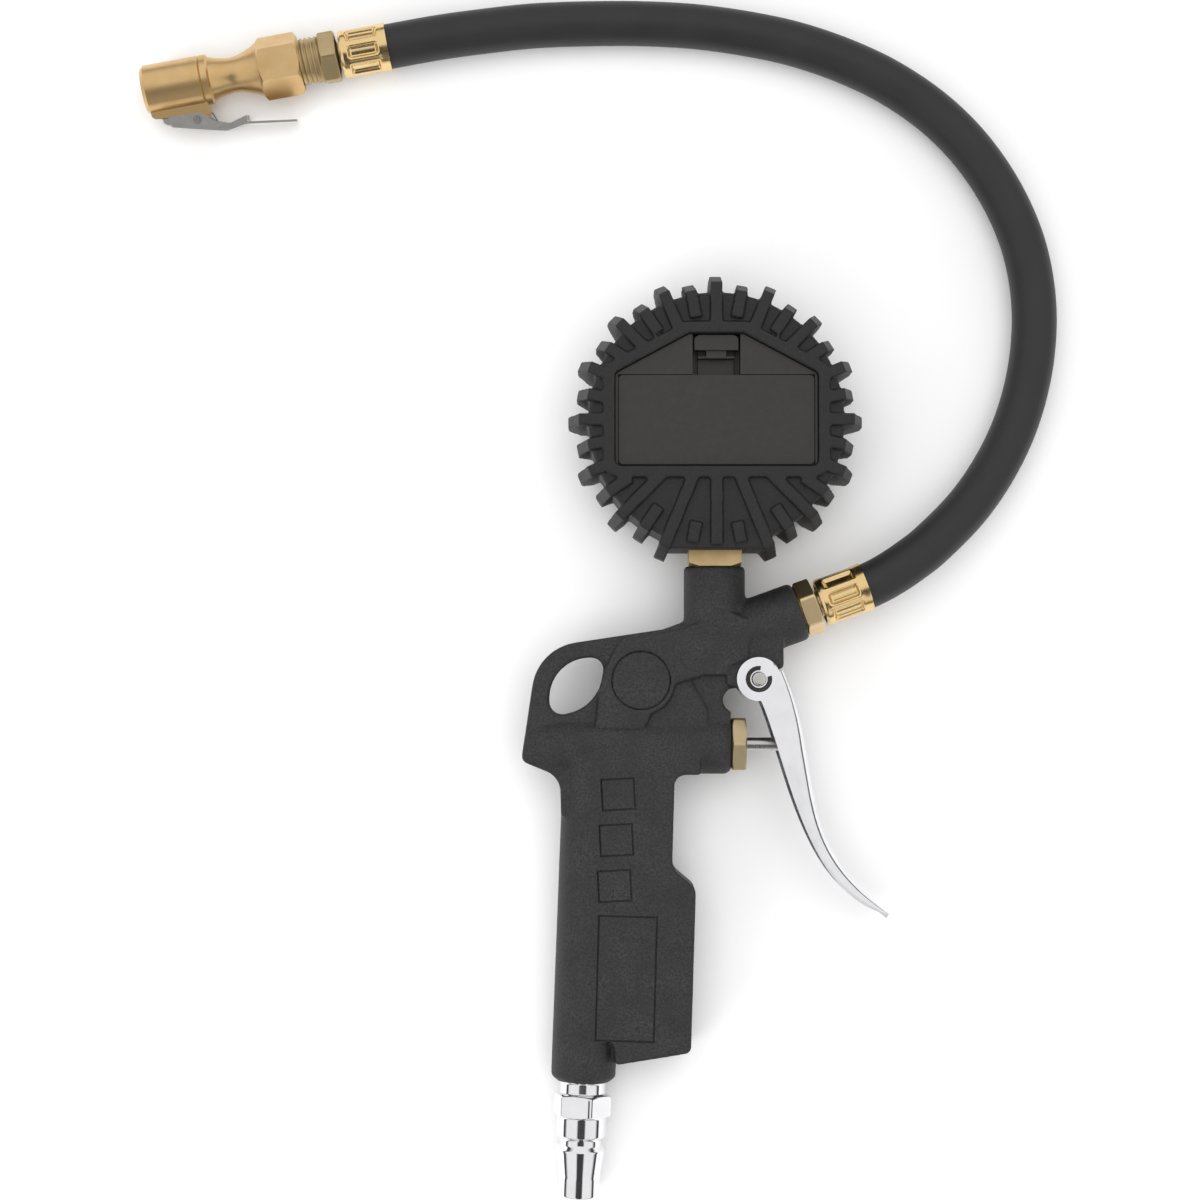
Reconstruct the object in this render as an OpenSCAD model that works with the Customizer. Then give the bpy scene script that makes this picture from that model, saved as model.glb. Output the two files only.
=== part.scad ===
// Tyre inflator with a digital gauge, a hose and a clip-on chuck.
// The gun lies on its side: X runs across it, Y along the grip towards the gauge, Z up.
// Sub-parts of the gun are drawn in the gun's own plane, with the gauge's centre at [0, 0, 0]
// and the middle of the casting at z = 0, and lay_down() sets them on the table.

/* [Gauge] */
// Radius of the rubber boot between its teeth
boot_r = 34.8; // [33:0.1:42]
// Height of the boot's back face over the gun's mid plane
boot_back = 16.5; // [15:0.5:20]
// Depth of the boot's front lip under the gun's mid plane
boot_front = 16; // [14:0.5:20]
// Thickness of the boot's wall
boot_wall = 3; // [2:0.1:4]
// Distance from the gauge's centre to the boot's flat foot
boot_foot = 35; // [34:0.1:44]
// Width of the boot's flat foot
foot_w = 25; // [18:0.5:30]
// Height of the ribs and of the rim on the boot's back
rib_rise = 1.5; // [0.5:0.1:2.5]
// Number of long teeth round the boot, with a short tooth between each two
tooth_count = 16; // [12:4:20]
// Width of one tooth
tooth_w = 3.2; // [2:0.1:4]
// Reach of a long tooth past the boot's wall at its peak
tooth_long = 5.6; // [3:0.1:8]
// Reach of a short tooth past the boot's wall at its peak
tooth_short = 3.8; // [2:0.1:6]
// Width of the window in the boot's back
window_w = 55.2; // [54:0.1:58]
// Width of the battery door
door_w = 53.2; // [50:0.1:53.5]
// Height of the battery door, along the gun
door_h = 24.4; // [23:0.1:26]
// Thickness of the battery door
door_t = 1.6; // [1.2:0.1:2.5]
// Width of the recess for the door's latch
latch_w = 13; // [10:0.5:16]
// Wall of the gauge's hard case
case_wall = 2; // [1.5:0.1:2.5]
// Width of the window in the front of the case
lens_w = 44; // [36:1:46]
// Height of the window in the front of the case
lens_h = 26; // [20:1:28]
// Diameter of each front button
button_d = 9; // [6:0.5:10]
// Distance between the two front buttons
button_gap = 18; // [14:1:24]
// Travel of a front button
button_travel = 0.6; // [0.3:0.1:1]

/* [Casting] */
// Diameter of the stub under the gauge
stub_d = 17; // [16.5:0.1:19]
// Diameter of the hose outlet barrel
barrel_d = 16.4; // [15:0.1:18]
// Centre of the outlet barrel's end face
barrel_end = [23.8, -51.5]; // [-60:0.1:60]
// Angle of the outlet barrel over the X axis
barrel_angle = 20; // [10:1:30]
// Centre of the round boss
boss_at = [-20.4, -70.8]; // [-80:0.1:0]
// Diameter of the cap pressed into the boss
cap_d = 15.8; // [12:0.1:17]
// Diameter of the valve housing
housing_d = 16.5; // [16:0.1:20]
// Height of the valve housing's axis
valve_y = -88.4; // [-90:0.1:-87]
// End face of the valve housing
housing_end = 4.6; // [0:0.1:8]
// Thickness of the web and of the hang loop
web_t = 11; // [8:0.5:13]
// Diameter of the inlet tube in the back of the grip
tube_d = 17.8; // [17:0.1:20]
// Lower end of the inlet tube, on its axis
tube_end = [-36.4, -181.3]; // [-200:0.1:0]
// Lean of the inlet tube from the Y axis
tube_lean = 2.2; // [0:0.1:4]
// Thickness of the grip
grip_t = 16.6; // [15:0.1:20]
// Depth of the lines engraved in the grip
groove_depth = 0.5; // [0.2:0.1:0.8]

/* [Lever] */
// Pivot of the trigger lever
pivot_at = [11.8, -70.4]; // [-75:0.1:20]
// Radius of the lever's eye
eye_r = 6; // [5.5:0.1:7]
// Outside width of the channel
lever_w = 18; // [17:0.5:22]
// Thickness of the lever's sheet
lever_t = 1.5; // [1:0.1:2]
// Diameter of the pivot pin
pivot_d = 4; // [3:0.1:4.4]

/* [Valve] */
// Diameter of the push pin
pin_d = 3.7; // [3:0.1:5]
// Size of the gland nut across its flats
gland_af = 14.2; // [13:0.1:16]
// Height of the gland nut's head
gland_h = 4; // [3:0.1:6]
// Gap between the push pin and the released lever
pin_gap = 0.2; // [0.1:0.05:0.5]

/* [Hose and plug] */
// Pipe thread of the plug, the gauge and both hose ends
thread_d = 13.2; // [12:0.1:13.6]
// Size of the inlet plug's hexagon across its flats
plug_af = 14.4; // [13.5:0.1:17]
// Diameter of the inlet plug's nose
nose_d = 11.4; // [9:0.1:12]
// Size of the hose ends' hexagons across their flats
hose_af = 13.8; // [13.5:0.1:16]
// Outside diameter of the hose
hose_d = 12.6; // [12:0.1:13]
// Outside diameter of the crimped ferrules
ferrule_d = 13.8; // [13.6:0.1:15]
// Length of the crimped ferrules
ferrule_l = 13.5; // [12:0.2:20]

/* [Chuck] */
// Diameter of the chuck's head
head_d = 14.1; // [13.5:0.1:16]
// Length of the chuck's head
head_l = 16.9; // [16:0.1:20]
// Diameter of the waist behind the head
waist_d = 9.8; // [9:0.1:12]
// Size of the chuck's hexagon across its flats
chuck_af = 15.5; // [15:0.1:18]
// Bore of the chuck's mouth, for a tyre valve
mouth_d = 8.2; // [8:0.1:8.6]
// Depth of the mouth to its rubber seal
mouth_depth = 6; // [5:0.5:7]
// Thickness of the clip's sheet
clip_t = 0.6; // [0.6:0.1:1.2]
// Diameter of the clip's pin
clip_pin_d = 2.2; // [1.8:0.1:2.6]

/* [Hidden] */
$fn = 64;
// Fits: screwed and pressed pieces, running pins, loose pieces and pieces that pass each other
seat = 0.02;
running = 0.05;
loose = 0.15;
pass = 0.3;
// Overlap that makes two shapes one solid
weld = 0.5;

// Gauge
boot_lip = 1.5;
case_r = boot_r - boot_wall - seat;
case_back = boot_back - 0.3;
case_shoulder = boot_back - boot_wall + weld;
case_front = -boot_front + boot_lip + seat;
split_z = 0;
window_gap = 0.4;
window_low = -door_h / 2 - window_gap;
window_top = 23.5;
window_bend = door_h / 2 + 0.5;
window_flat = 7.4;
rim_w = 3.1;
pitch = 360 / tooth_count;
tooth_peak_z = 1.5;
tooth_end = 3.1;
rib_short_from = boot_r - 6.5;
rib_top_from = window_top + 2.5;
door_z = case_back - door_t;
latch_low = door_h / 2 + loose;
latch_top = window_top;
latch_depth = 6.2;
latch_floor = case_back - latch_depth;
latch_arm_w = latch_w - 3;
latch_arm_t = 0.8;
latch_arm_z = -latch_depth + door_t + 0.4;
crossbar_z = -0.6;
tab_h = 4.2;
tab_top = latch_top - 0.35;
tab_low = tab_top - tab_h;
tongue_w = 5.5;
tongue_h = 2.1;
lens_y = 5;
lens_t = 1.8;
lens_z = case_front + case_wall - lens_t;
button_y = -18;
button_rise = 0.7;
board_z = -8.4;
board_t = 1.6;
switch_t = 1.2;
button_stem = board_z - switch_t - button_travel - 0.15 - case_front - case_wall;
display_t = 2.8;
cell_d = 10.5;
cell_l = 44.5;
cell_z = case_back - door_t - loose - cell_d / 2;
bay_w = cell_l + 4;
bay_h = 2 * cell_d + 1;
bay_wall = 1;
screw_ring = case_r - 4.6;
screw_d = 2.2;
boss_d = 5;

// Gauge connector
block_w = 14.5;
block_l = 4.3;
neck_d = 11.6;
neck_l = 11;
seal_cord = 1;
seal_groove_r = neck_d / 2 - 0.8;
seal_z = boot_foot + block_l - case_r + case_wall / 2;
port_d = 2 * (seal_groove_r + seal_cord + 2 * seat);
sensor_d = 13;
sensor_l = 5;
thread_l = 10;

// Casting
stub_top = -boot_foot - block_l;
boss_h = grip_t / 2;
cap_t = 3;
housing_back = -44;
housing_taper = 14;
tube_top = 88;
tube_blend = 8;
lug_t = lever_w - 2 * lever_t - 2 * pass;
lug_r = eye_r - 0.9;
valve_bore = 9.4;
gland_thread = 12;
gland_thread_l = 8;
air_bore = 6;
inlet_bore = 8;
bore_end = 30;
seat_l = 4;
seat_d = 6.4;
seat_x = -17;
chamber_l = 24;
chamber_x = seat_x - chamber_l;
poppet_d = 8.4;
poppet_x = seat_x - 3.2;

// Lever edges, as cubic curves from the eye to the tip
lever_front = [[18.6, -67.8], [31.0, -94.7], [19.9, -113.4], [47.3, -134.4]];
lever_rear = [[12.3, -76.0], [19.8, -93.0], [24.5, -130.4], [47.3, -134.6]];
lever_steps = 20;
pin_tip = bezier(lever_front, bezier_at(lever_front, valve_y));
web_lean = bezier_normal(lever_front, bezier_at(lever_front, valve_y));
pin_out = pin_tip[0] - lever_t / abs(web_lean[0]) - pin_gap - housing_end;

// Pivot pin: its head, the spring clip in its groove and the end past the clip
pin_head_r = pivot_d / 2 + 1.2;
pin_head_t = 1.2;
pin_shoulder = lever_w / 2 + 0.1;
pin_groove_d = pivot_d - 1;
pin_end = 1.8;
clip_sheet = 0.6;

// Gun on the table: it rests on the boot's foot and on the lower end of the inlet tube
gun_x = 3;
gun_y = 86.3;
tube_chamfer = 1.6;
lay_tilt = atan((boot_front - tube_d / 2) / (-tube_end[1] - tube_chamfer - boot_foot));
rest_z = boot_front * cos(lay_tilt) + boot_foot * sin(lay_tilt);

// Chuck on the table: its mouth's centre and the direction of its axis
chuck_x = -158.4;
chuck_y = 183.6;
chuck_turn = 10.5;
chuck_roll = 15;
chuck_hex_turn = 22.5;
fitting_turn = -3;
chuck_z = chuck_af / sqrt(3) * cos(60 - chuck_hex_turn - chuck_roll);
ring_l = 2.3;
neck_end = 33.7;
hex_end = 45.3;
thread_shown = 5.8;
fitting_s = hex_end + thread_shown;
clip_pin_s = 13.5;
clip_pin_u = 10.5;
lug_w = 6.4;
lug_u = clip_pin_u + 2;
lug_end = clip_pin_s + 3.9;
clip_in = lug_w / 2 + loose;
clip_out = clip_in + clip_t;
depressor_collar = 14;
seal_d = 10.2;
seal_t = 2.4;

// Hose end: hexagon, thread and barbed tail; the ferrule stands off the hexagon
hex_l = 5;
gun_hex_turn = 38.7;
ferrule_gap = 0.9;
ferrule_wall = 1.4;
flute_count = 8;
flute_w = 3.2;
flute_l = 7.4;
tail_d = 7.6;
tail_l = 19;
tail_bore = 5;
hose_bore = 8;

// Route of the hose, from the gun's ferrule to the chuck's ferrule
hose_route = [
    [33.7, 37.4, 15.3], [39.3, 39.4, 15.4], [45.0, 41.5, 15.5], [51.1, 44.6, 15.3],
    [57.6, 48.9, 14.8], [64.0, 54.0, 13.8], [74.5, 64.7, 11.0], [83.2, 77.4, 8.4],
    [89.4, 91.0, 6.9], [93.2, 106.3, 6.4], [94.1, 122.1, 6.4], [91.7, 138.0, 6.4],
    [86.0, 152.6, 6.4], [77.4, 166.1, 6.4], [66.8, 177.2, 6.4], [54.0, 186.3, 6.4],
    [40.7, 192.8, 6.4], [26.5, 197.7, 6.4], [12.1, 200.8, 6.4], [-2.6, 202.8, 6.4],
    [-18.4, 203.6, 6.4], [-34.1, 203.5, 6.5], [-48.2, 202.8, 6.8], [-61.4, 201.2, 7.3],
    [-74.5, 199.2, 7.9], [-89.1, 196.4, 8.3], [-95.1, 195.3, 8.3], [-101.0, 194.2, 8.3]
];
hose_rings_between = 1;
hose_sides = 12;

// ---- Frames ----

// The gun's own plane, laid on the table
module lay_down() translate([gun_x, gun_y, rest_z]) rotate([lay_tilt, 0, 0]) children();

// Local Z along the outlet barrel, from its end face outwards
module outlet_frame()
    lay_down() translate([barrel_end[0], barrel_end[1], 0]) rotate([0, 0, barrel_angle])
        rotate([0, 90, 0]) children();

// Local Z down the inlet tube, from its end face outwards
module inlet_frame()
    lay_down() translate([tube_end[0], tube_end[1], 0]) rotate([0, 0, -90 - tube_lean])
        rotate([0, 90, 0]) children();

// Local Z along the valve, from the housing's end face outwards
module valve_frame()
    lay_down() translate([housing_end, valve_y, 0]) rotate([0, 90, 0]) children();

// Local Z up out of the gun's stub, from its top face
module stub_frame() lay_down() translate([0, stub_top, 0]) rotate([-90, 0, 0]) children();

// Local X from the chuck's mouth to its hose end, local -Y towards the clip
module chuck_frame()
    translate([chuck_x, chuck_y, chuck_z]) rotate([0, 0, chuck_turn]) rotate([chuck_roll, 0, 0])
        children();

// Local Z along the chuck's axis, from a distance behind its mouth
module along_chuck(s) chuck_frame() translate([s, 0, 0]) rotate([0, 90, 0]) children();

// ---- Outlines and curves ----

// Arc that rounds corner b of the path a, b, c by radius r
function corner(a, b, c, r, steps = 8) =
    let (u = (a - b) / norm(a - b),
         v = (c - b) / norm(c - b),
         half = acos(max(-1, min(1, u * v))) / 2,
         axis = (u + v) / norm(u + v),
         middle = b + axis * r / sin(half),
         from = b + u * r / tan(half) - middle,
         to = b + v * r / tan(half) - middle,
         sweep = 180 - 2 * half,
         turn = sign(from[0] * to[1] - from[1] * to[0]))
    [for (i = [0:steps])
        let (t = turn * sweep * i / steps)
        middle + [from[0] * cos(t) - from[1] * sin(t), from[0] * sin(t) + from[1] * cos(t)]];

// Closed outline through corners given as [x, y, rounding radius]
function rounded(p) =
    [for (i = [0:len(p) - 1])
        let (a = p[(i + len(p) - 1) % len(p)],
             b = p[i],
             c = p[(i + 1) % len(p)],
             xy = [b[0], b[1]])
        each b[2] > 0 ? corner([a[0], a[1]], xy, [c[0], c[1]], b[2]) : [xy]];

function bezier(p, t) =
    pow(1 - t, 3) * p[0] + 3 * pow(1 - t, 2) * t * p[1] + 3 * (1 - t) * t * t * p[2]
    + pow(t, 3) * p[3];

function bezier_normal(p, t) =
    let (d = bezier(p, min(1, t + 0.01)) - bezier(p, max(0, t - 0.01)))
    [d[1], -d[0]] / norm(d);

// Where a falling curve crosses the height y
function bezier_at(p, y, low = 0, high = 1, n = 24) =
    n == 0 ? low
    : let (mid = (low + high) / 2)
      bezier(p, mid)[1] > y ? bezier_at(p, y, mid, high, n - 1)
      : bezier_at(p, y, low, mid, n - 1);

module slab(outline, thickness)
    linear_extrude(thickness, center = true) polygon(outline);

module ring(outer, inner, height)
    difference() {
        cylinder(h = height, d = outer);
        translate([0, 0, -1]) cylinder(h = height + 2, d = inner);
    }

module hexagon(af, height) cylinder(h = height, d = af / cos(30), $fn = 6);

// Hexagon with its corners turned off at both ends
module nut_head(af, height, chamfer = 0.5)
    intersection() {
        hexagon(af, height);
        union() {
            cylinder(h = chamfer, d1 = af, d2 = af / cos(30));
            translate([0, 0, chamfer]) cylinder(h = height - 2 * chamfer, d = af / cos(30) + 0.1);
            translate([0, 0, height - chamfer])
                cylinder(h = chamfer, d1 = af / cos(30), d2 = af);
        }
    }

// Round piece turned about Z from its half section [radius, height]
module turned(section) rotate_extrude() polygon(section);

// O-ring about Z, with its middle at z = 0
module o_ring(ring_r, cord_d) rotate_extrude() translate([ring_r, 0]) circle(d = cord_d, $fn = 24);

// ---- Casting ----

// Web round the hang loop, the stub, the lever's lug and the valve
function plate_outline() = rounded([
    [6, -50, 0], [-8.8, -55.9, 2], [-48.8, -61.9, 14], [-53.4, -93, 2], [-42.7, -97.3, 6],
    [-42.4, -108, 0], [tube_end[0], -108, 0], [tube_end[0], valve_y, 0], [housing_end - 0.3, valve_y, 0],
    [housing_end - 0.3, -79, 0], [6, -76, 0], [13, -68, 0], [16, -56, 0]
]);

// Thick shoulder that carries the boss and runs into the valve's housing
function shoulder_outline() = rounded([
    [4, -52, 0], [-8.4, -56.2, 2], [-26, -59.4, 6], [-31.5, -70, 8], [-33, -84, 0], [-19.5, -84, 0],
    [-17.5, -80, 3], [-12.3, -72, 2], [-6.7, -70.6, 1], [9, -64.8, 0], [9, -54, 0]
]);

// Low step in the recess between the boss and the valve's housing
function step_outline() = [[-17.5, -70], [-6.7, -71.1], [-2.2, -78.9], [-2.2, -84], [-17.5, -84]];

function grip_outline() = rounded([
    [tube_end[0] + 4, valve_y, 0], [-4, valve_y, 0], [-4, valve_y - housing_d / 2, 0],
    [-11.2, valve_y - housing_d / 2, 3], [-11.9, -122.4, 5], [-5.4, -127.6, 3.2],
    [-6.8, -172.5, 1.8], [-27.4, -175.8, 0.4], [-28.4, -168, 0], [tube_end[0], -168, 0]
]);

function hang_hole() = rounded([
    [-45.8, -81.1, 3.5], [-45.8, -64.5, 11.2], [-30.3, -64.5, 3.2], [-32.3, -78.2, 12]
]);

function lug_outline() = rounded([
    [4, -58, 0], [3, -72, 0], [6, -72.9, 0], [pivot_at[0], pivot_at[1], 0],
    [18.8, -67.2, 1], [18.6, -56, 0]
]);

// Lines cut round a rectangle w by h, in the top face of the grip
module engraved_frame(w, h, line = 0.5)
    translate([0, 0, grip_t / 2 - groove_depth])
        linear_extrude(2 * groove_depth) difference() {
            square([w, h], center = true);
            square([w - 2 * line, h - 2 * line], center = true);
        }

module gun_body()
    color("#3b3b3b") difference() {
        union() {
            lay_down() {
                slab(plate_outline(), web_t);
                slab(step_outline(), web_t + 2);
                slab(shoulder_outline(), 2 * boss_h);
                slab(grip_outline(), grip_t);
                slab(lug_outline(), lug_t);
                translate([pivot_at[0], pivot_at[1], -lug_t / 2]) cylinder(h = lug_t, r = lug_r);
                translate([boss_at[0], boss_at[1], -boss_h]) cylinder(h = 2 * boss_h, d = cap_d + 3);
                intersection() {
                    slab(plate_outline(), housing_d);
                    translate([housing_back, valve_y, 0]) rotate([0, -90, 0])
                        cylinder(h = housing_taper, d1 = housing_d, d2 = web_t);
                }
            }
            stub_frame() {
                translate([0, 0, -0.6]) cylinder(h = 0.6, d1 = stub_d, d2 = stub_d - 1.2);
                translate([0, 0, -bore_end]) cylinder(h = bore_end - 0.6, d = stub_d);
            }
            outlet_frame() {
                translate([0, 0, -1]) cylinder(h = 1, d1 = barrel_d, d2 = barrel_d - 1.6);
                translate([0, 0, -46]) cylinder(h = 45, d = barrel_d);
            }
            valve_frame() {
                translate([0, 0, -1.5]) cylinder(h = 1.5, d1 = housing_d, d2 = housing_d - 2.4);
                translate([0, 0, housing_back - housing_end])
                    cylinder(h = housing_end - housing_back - 1.5, d = housing_d);
            }
            inlet_frame() {
                translate([0, 0, -tube_chamfer]) cylinder(h = tube_chamfer, d1 = tube_d, d2 = tube_d - 4);
                translate([0, 0, -tube_top]) cylinder(h = tube_top - tube_chamfer, d = tube_d);
                translate([0, 0, -tube_top - tube_blend])
                    cylinder(h = tube_blend, d1 = tube_d - 6, d2 = tube_d);
            }
        }
        lay_down() {
            translate([0, 0, -20]) linear_extrude(40) polygon(hang_hole());
            translate([5.4, -76.2, -20]) cylinder(h = 40, r = 3.3);
            translate([pivot_at[0], pivot_at[1], -20]) cylinder(h = 40, d = pivot_d + 2 * seat);
            translate([boss_at[0], boss_at[1], boss_h - cap_t]) cylinder(h = 20, d = cap_d + 2 * seat);
            translate([-7, valve_y, 0]) rotate([-90, 0, 0]) cylinder(h = 28, d = air_bore);
            for (i = [0:2])
                translate([-26.7 - 0.5 * i, -101.9 - 12.5 * i, 0]) rotate([0, 0, 3])
                    engraved_frame(9.4, 8.9);
            translate([-24.5, -152.2, 0]) rotate([0, 0, -1.6]) engraved_frame(16.4, 34.4);
        }
        stub_frame() {
            translate([0, 0, -thread_l - 1]) cylinder(h = 30, d = thread_d + 2 * seat);
            translate([0, 0, -22]) cylinder(h = 30, d = air_bore);
        }
        outlet_frame() {
            translate([0, 0, -thread_l - 1]) cylinder(h = 30, d = thread_d + 2 * seat);
            translate([0, 0, -38]) cylinder(h = 40, d = air_bore);
        }
        valve_frame() {
            translate([0, 0, -gland_thread_l - 0.5]) cylinder(h = 30, d = gland_thread + 2 * seat);
            translate([0, 0, chamber_x]) cylinder(h = 60, d = valve_bore);
        }
        inlet_frame() {
            translate([0, 0, -thread_l - 1]) cylinder(h = 30, d = thread_d + 2 * seat);
            translate([0, 0, tube_end[1] - valve_y]) cylinder(h = 120, d = inlet_bore);
        }
    }

module boss_cap()
    color("#3b3b3b") lay_down() translate([boss_at[0], boss_at[1], boss_h - cap_t]) {
        cylinder(h = cap_t - 0.3, d = cap_d);
        translate([0, 0, cap_t - 0.3]) cylinder(h = 0.3, d1 = cap_d, d2 = cap_d - 0.6);
    }

// ---- Lever and its pivot ----

function lever_edge(p, shift, first = 0) =
    [for (i = [0:lever_steps])
        let (t = first + (1 - first) * i / lever_steps)
        bezier(p, t) + shift * bezier_normal(p, t)];

function reversed(p) = [for (i = [len(p) - 1:-1:0]) p[i]];

module lever_plate()
    linear_extrude(lever_t) difference() {
        union() {
            translate(pivot_at) circle(r = eye_r);
            polygon(concat(
                [pivot_at], lever_edge(lever_front, 0), reversed(lever_edge(lever_rear, 0))));
        }
        translate(pivot_at) circle(d = pivot_d + 2 * running);
    }

module trigger_lever()
    color("#d9d9dc") lay_down() {
        translate([0, 0, lever_w / 2 - lever_t]) lever_plate();
        translate([0, 0, -lever_w / 2]) lever_plate();
        slab(concat(
            lever_edge(lever_front, 0, 0.05), reversed(lever_edge(lever_front, lever_t, 0.05))), lever_w);
    }

module pivot_pin()
    color("#b9b9bc") lay_down() translate([pivot_at[0], pivot_at[1], 0]) turned([
        [0, -pin_shoulder - pin_head_t], [pin_head_r, -pin_shoulder - pin_head_t],
        [pin_head_r, -pin_shoulder], [pivot_d / 2, -pin_shoulder],
        [pivot_d / 2, pin_shoulder], [pin_groove_d / 2, pin_shoulder],
        [pin_groove_d / 2, pin_shoulder + clip_sheet + 0.1],
        [pivot_d / 2, pin_shoulder + clip_sheet + 0.1], [pivot_d / 2, pin_shoulder + pin_end - 0.4],
        [pivot_d / 2 - 0.4, pin_shoulder + pin_end], [0, pin_shoulder + pin_end]
    ]);

// Spring clip that grips the pin's groove, open towards the upper right
module pivot_clip()
    color("#5c5a58") lay_down() translate([pivot_at[0], pivot_at[1], pin_shoulder + 0.05])
        linear_extrude(clip_sheet) difference() {
            circle(d = pivot_d + 3.2);
            circle(d = pivot_d + 0.8);
            polygon([[0, 0], [1.2, 8], [8, 8], [8, 2.2]]);
        }

// ---- Valve ----

module push_pin()
    color("#b4b1ae") valve_frame() turned([
        [0, poppet_x + 2], [pin_d / 2, poppet_x + 2], [pin_d / 2, pin_out - 1],
        [pin_d / 2 - 0.8, pin_out], [0, pin_out]
    ]);

module gland_nut()
    color("#a8915f") valve_frame() difference() {
        union() {
            nut_head(gland_af, gland_h);
            translate([0, 0, -gland_thread_l]) cylinder(h = gland_thread_l + 0.1, d = gland_thread);
        }
        translate([0, 0, -20]) cylinder(h = 40, d = pin_d + 2 * running);
        translate([0, 0, -gland_thread_l - 1]) cylinder(h = 4.2, d = pin_d + 4.2);
    }

module gland_seal()
    color("#222222") valve_frame() translate([0, 0, -gland_thread_l + 1.4])
        o_ring(pin_d / 2 + 1 + running, 1.9);

module valve_seat()
    color("#a8915f") valve_frame() translate([0, 0, seat_x]) turned([
        [seat_d / 2, 0], [seat_d / 2 + 0.4, -0.6], [valve_bore / 2 - seat, -0.6],
        [valve_bore / 2 - seat, seat_l], [seat_d / 2, seat_l]
    ]);

module valve_poppet()
    color("#9c8a60") valve_frame() translate([0, 0, poppet_x]) turned([
        [0, -3], [1.4, -3], [1.4, 0], [poppet_d / 2, 0], [poppet_d / 2, 2.3], [pin_d / 2 + 0.8, 2.3],
        [pin_d / 2 + 0.8, 4.6], [pin_d / 2 + seat, 4.6], [pin_d / 2 + seat, 2], [0, 2]
    ]);

// Turns of a coil spring of round wire as one swept tube
module coil(radius, wire, length, turns, sides = 6, steps = 12) {
    rings = turns * steps;
    points = [for (i = [0:rings], k = [0:sides - 1])
        let (a = 360 * i / steps,
             b = 360 * k / sides,
             r = radius + wire / 2 * cos(b))
        [r * cos(a), r * sin(a), wire / 2 + (length - wire) * i / rings + wire / 2 * sin(b)]];
    walls = [for (i = [0:rings - 1], k = [0:sides - 1])
        [i * sides + k, (i + 1) * sides + k, (i + 1) * sides + (k + 1) % sides,
         i * sides + (k + 1) % sides]];
    first = [for (k = [0:sides - 1]) k];
    last = [for (k = [sides - 1:-1:0]) rings * sides + k];
    polyhedron(points, concat([first], walls, [last]), convexity = 10);
}

module valve_spring()
    color("#9a9a9a") valve_frame() translate([0, 0, chamber_x])
        coil(2.6, 0.9, poppet_x - chamber_x - 0.1, 7);

// ---- Inlet plug ----

module inlet_plug()
    color("#d9d9dc") inlet_frame() difference() {
        union() {
            translate([0, 0, -thread_l]) cylinder(h = thread_l + 3.4, d = thread_d);
            translate([0, 0, 3.2]) rotate([0, 0, 44]) nut_head(plug_af, 6.2, 0.6);
            turned([
                [0, 9.2], [6.8, 9.2], [6.8, 14.8], [5.7, 15.6], [5.7, 17.2], [6.8, 18.6],
                [6.5, 20.6], [nose_d / 2, 26.2], [nose_d / 2, 31.2], [nose_d / 2 - 0.6, 31.8],
                [0, 31.8]
            ]);
        }
        translate([0, 0, -thread_l - 1]) cylinder(h = 60, d = 6.2);
    }

// ---- Gauge ----

module gauge_connector()
    color("#c9a96a") stub_frame() difference() {
        union() {
            intersection() {
                translate([-block_w / 2, -block_w / 2, 0]) cube([block_w, block_w, block_l]);
                union() {
                    cylinder(h = 1, d1 = block_w + 2.4, d2 = block_w + 6);
                    translate([0, 0, 1]) cylinder(h = block_l, d = block_w + 6);
                }
            }
            translate([0, 0, -thread_l]) cylinder(h = thread_l + 1, d = thread_d);
            cylinder(h = block_l + neck_l, d = neck_d);
        }
        translate([0, 0, -thread_l - 1]) cylinder(h = 60, d = 4);
        translate([0, 0, seal_z - seal_cord / 2 - loose])
            ring(neck_d + 2, 2 * seal_groove_r, seal_cord + 2 * loose);
    }

module connector_seal()
    color("#222222") stub_frame() translate([0, 0, seal_z])
        o_ring(seal_groove_r + seal_cord / 2 + seat, seal_cord);

module pressure_sensor()
    color("#8f8f92") stub_frame() translate([0, 0, block_l + neck_l + seat]) {
        cylinder(h = sensor_l - 1, d = sensor_d);
        cylinder(h = sensor_l, d = sensor_d - 3);
    }

// Opening in the boot's back, round the door and the latch, grown by g
function window_outline(g) = rounded([
    [-window_w / 2 - g, window_low - g, 1.6 + g], [window_w / 2 + g, window_low - g, 1.6 + g],
    [window_w / 2 + g, window_bend + g * 0.6, 1.5 + g],
    [window_flat + g * 0.3, window_top + g, 2 + g],
    [-window_flat - g * 0.3, window_top + g, 2 + g],
    [-window_w / 2 - g, window_bend + g * 0.6, 1.5 + g]
]);

// One tooth with its rib, drawn in the plane of the radius and standing along it
module tooth(reach, rib_from)
    rotate([90, 0, 0]) translate([0, 0, -tooth_w / 2]) linear_extrude(tooth_w) polygon([
        [rib_from, boot_back - 1], [rib_from, boot_back + rib_rise],
        [boot_r + reach - tooth_end, boot_back + rib_rise],
        [boot_r + reach, tooth_peak_z + 5], [boot_r + reach, tooth_peak_z - 4],
        [boot_r + reach - tooth_end, -boot_front + 1], [boot_r - 1.5, -boot_front + 1],
        [boot_r - 1.5, boot_back - 1]
    ]);

// True where the boot's foot leaves no room for a tooth
function over_foot(a) = abs(a - 270) < 14;

// Distance from the gauge's centre to the middle of the window's rim, in the direction a
function rim_at(a) =
    abs(cos(a)) > 0.85 ? (window_w + rim_w) / 2 / abs(cos(a))
    : sin(a) > 0 ? rib_top_from
    : (rim_w / 2 - window_low) / -sin(a);

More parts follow.
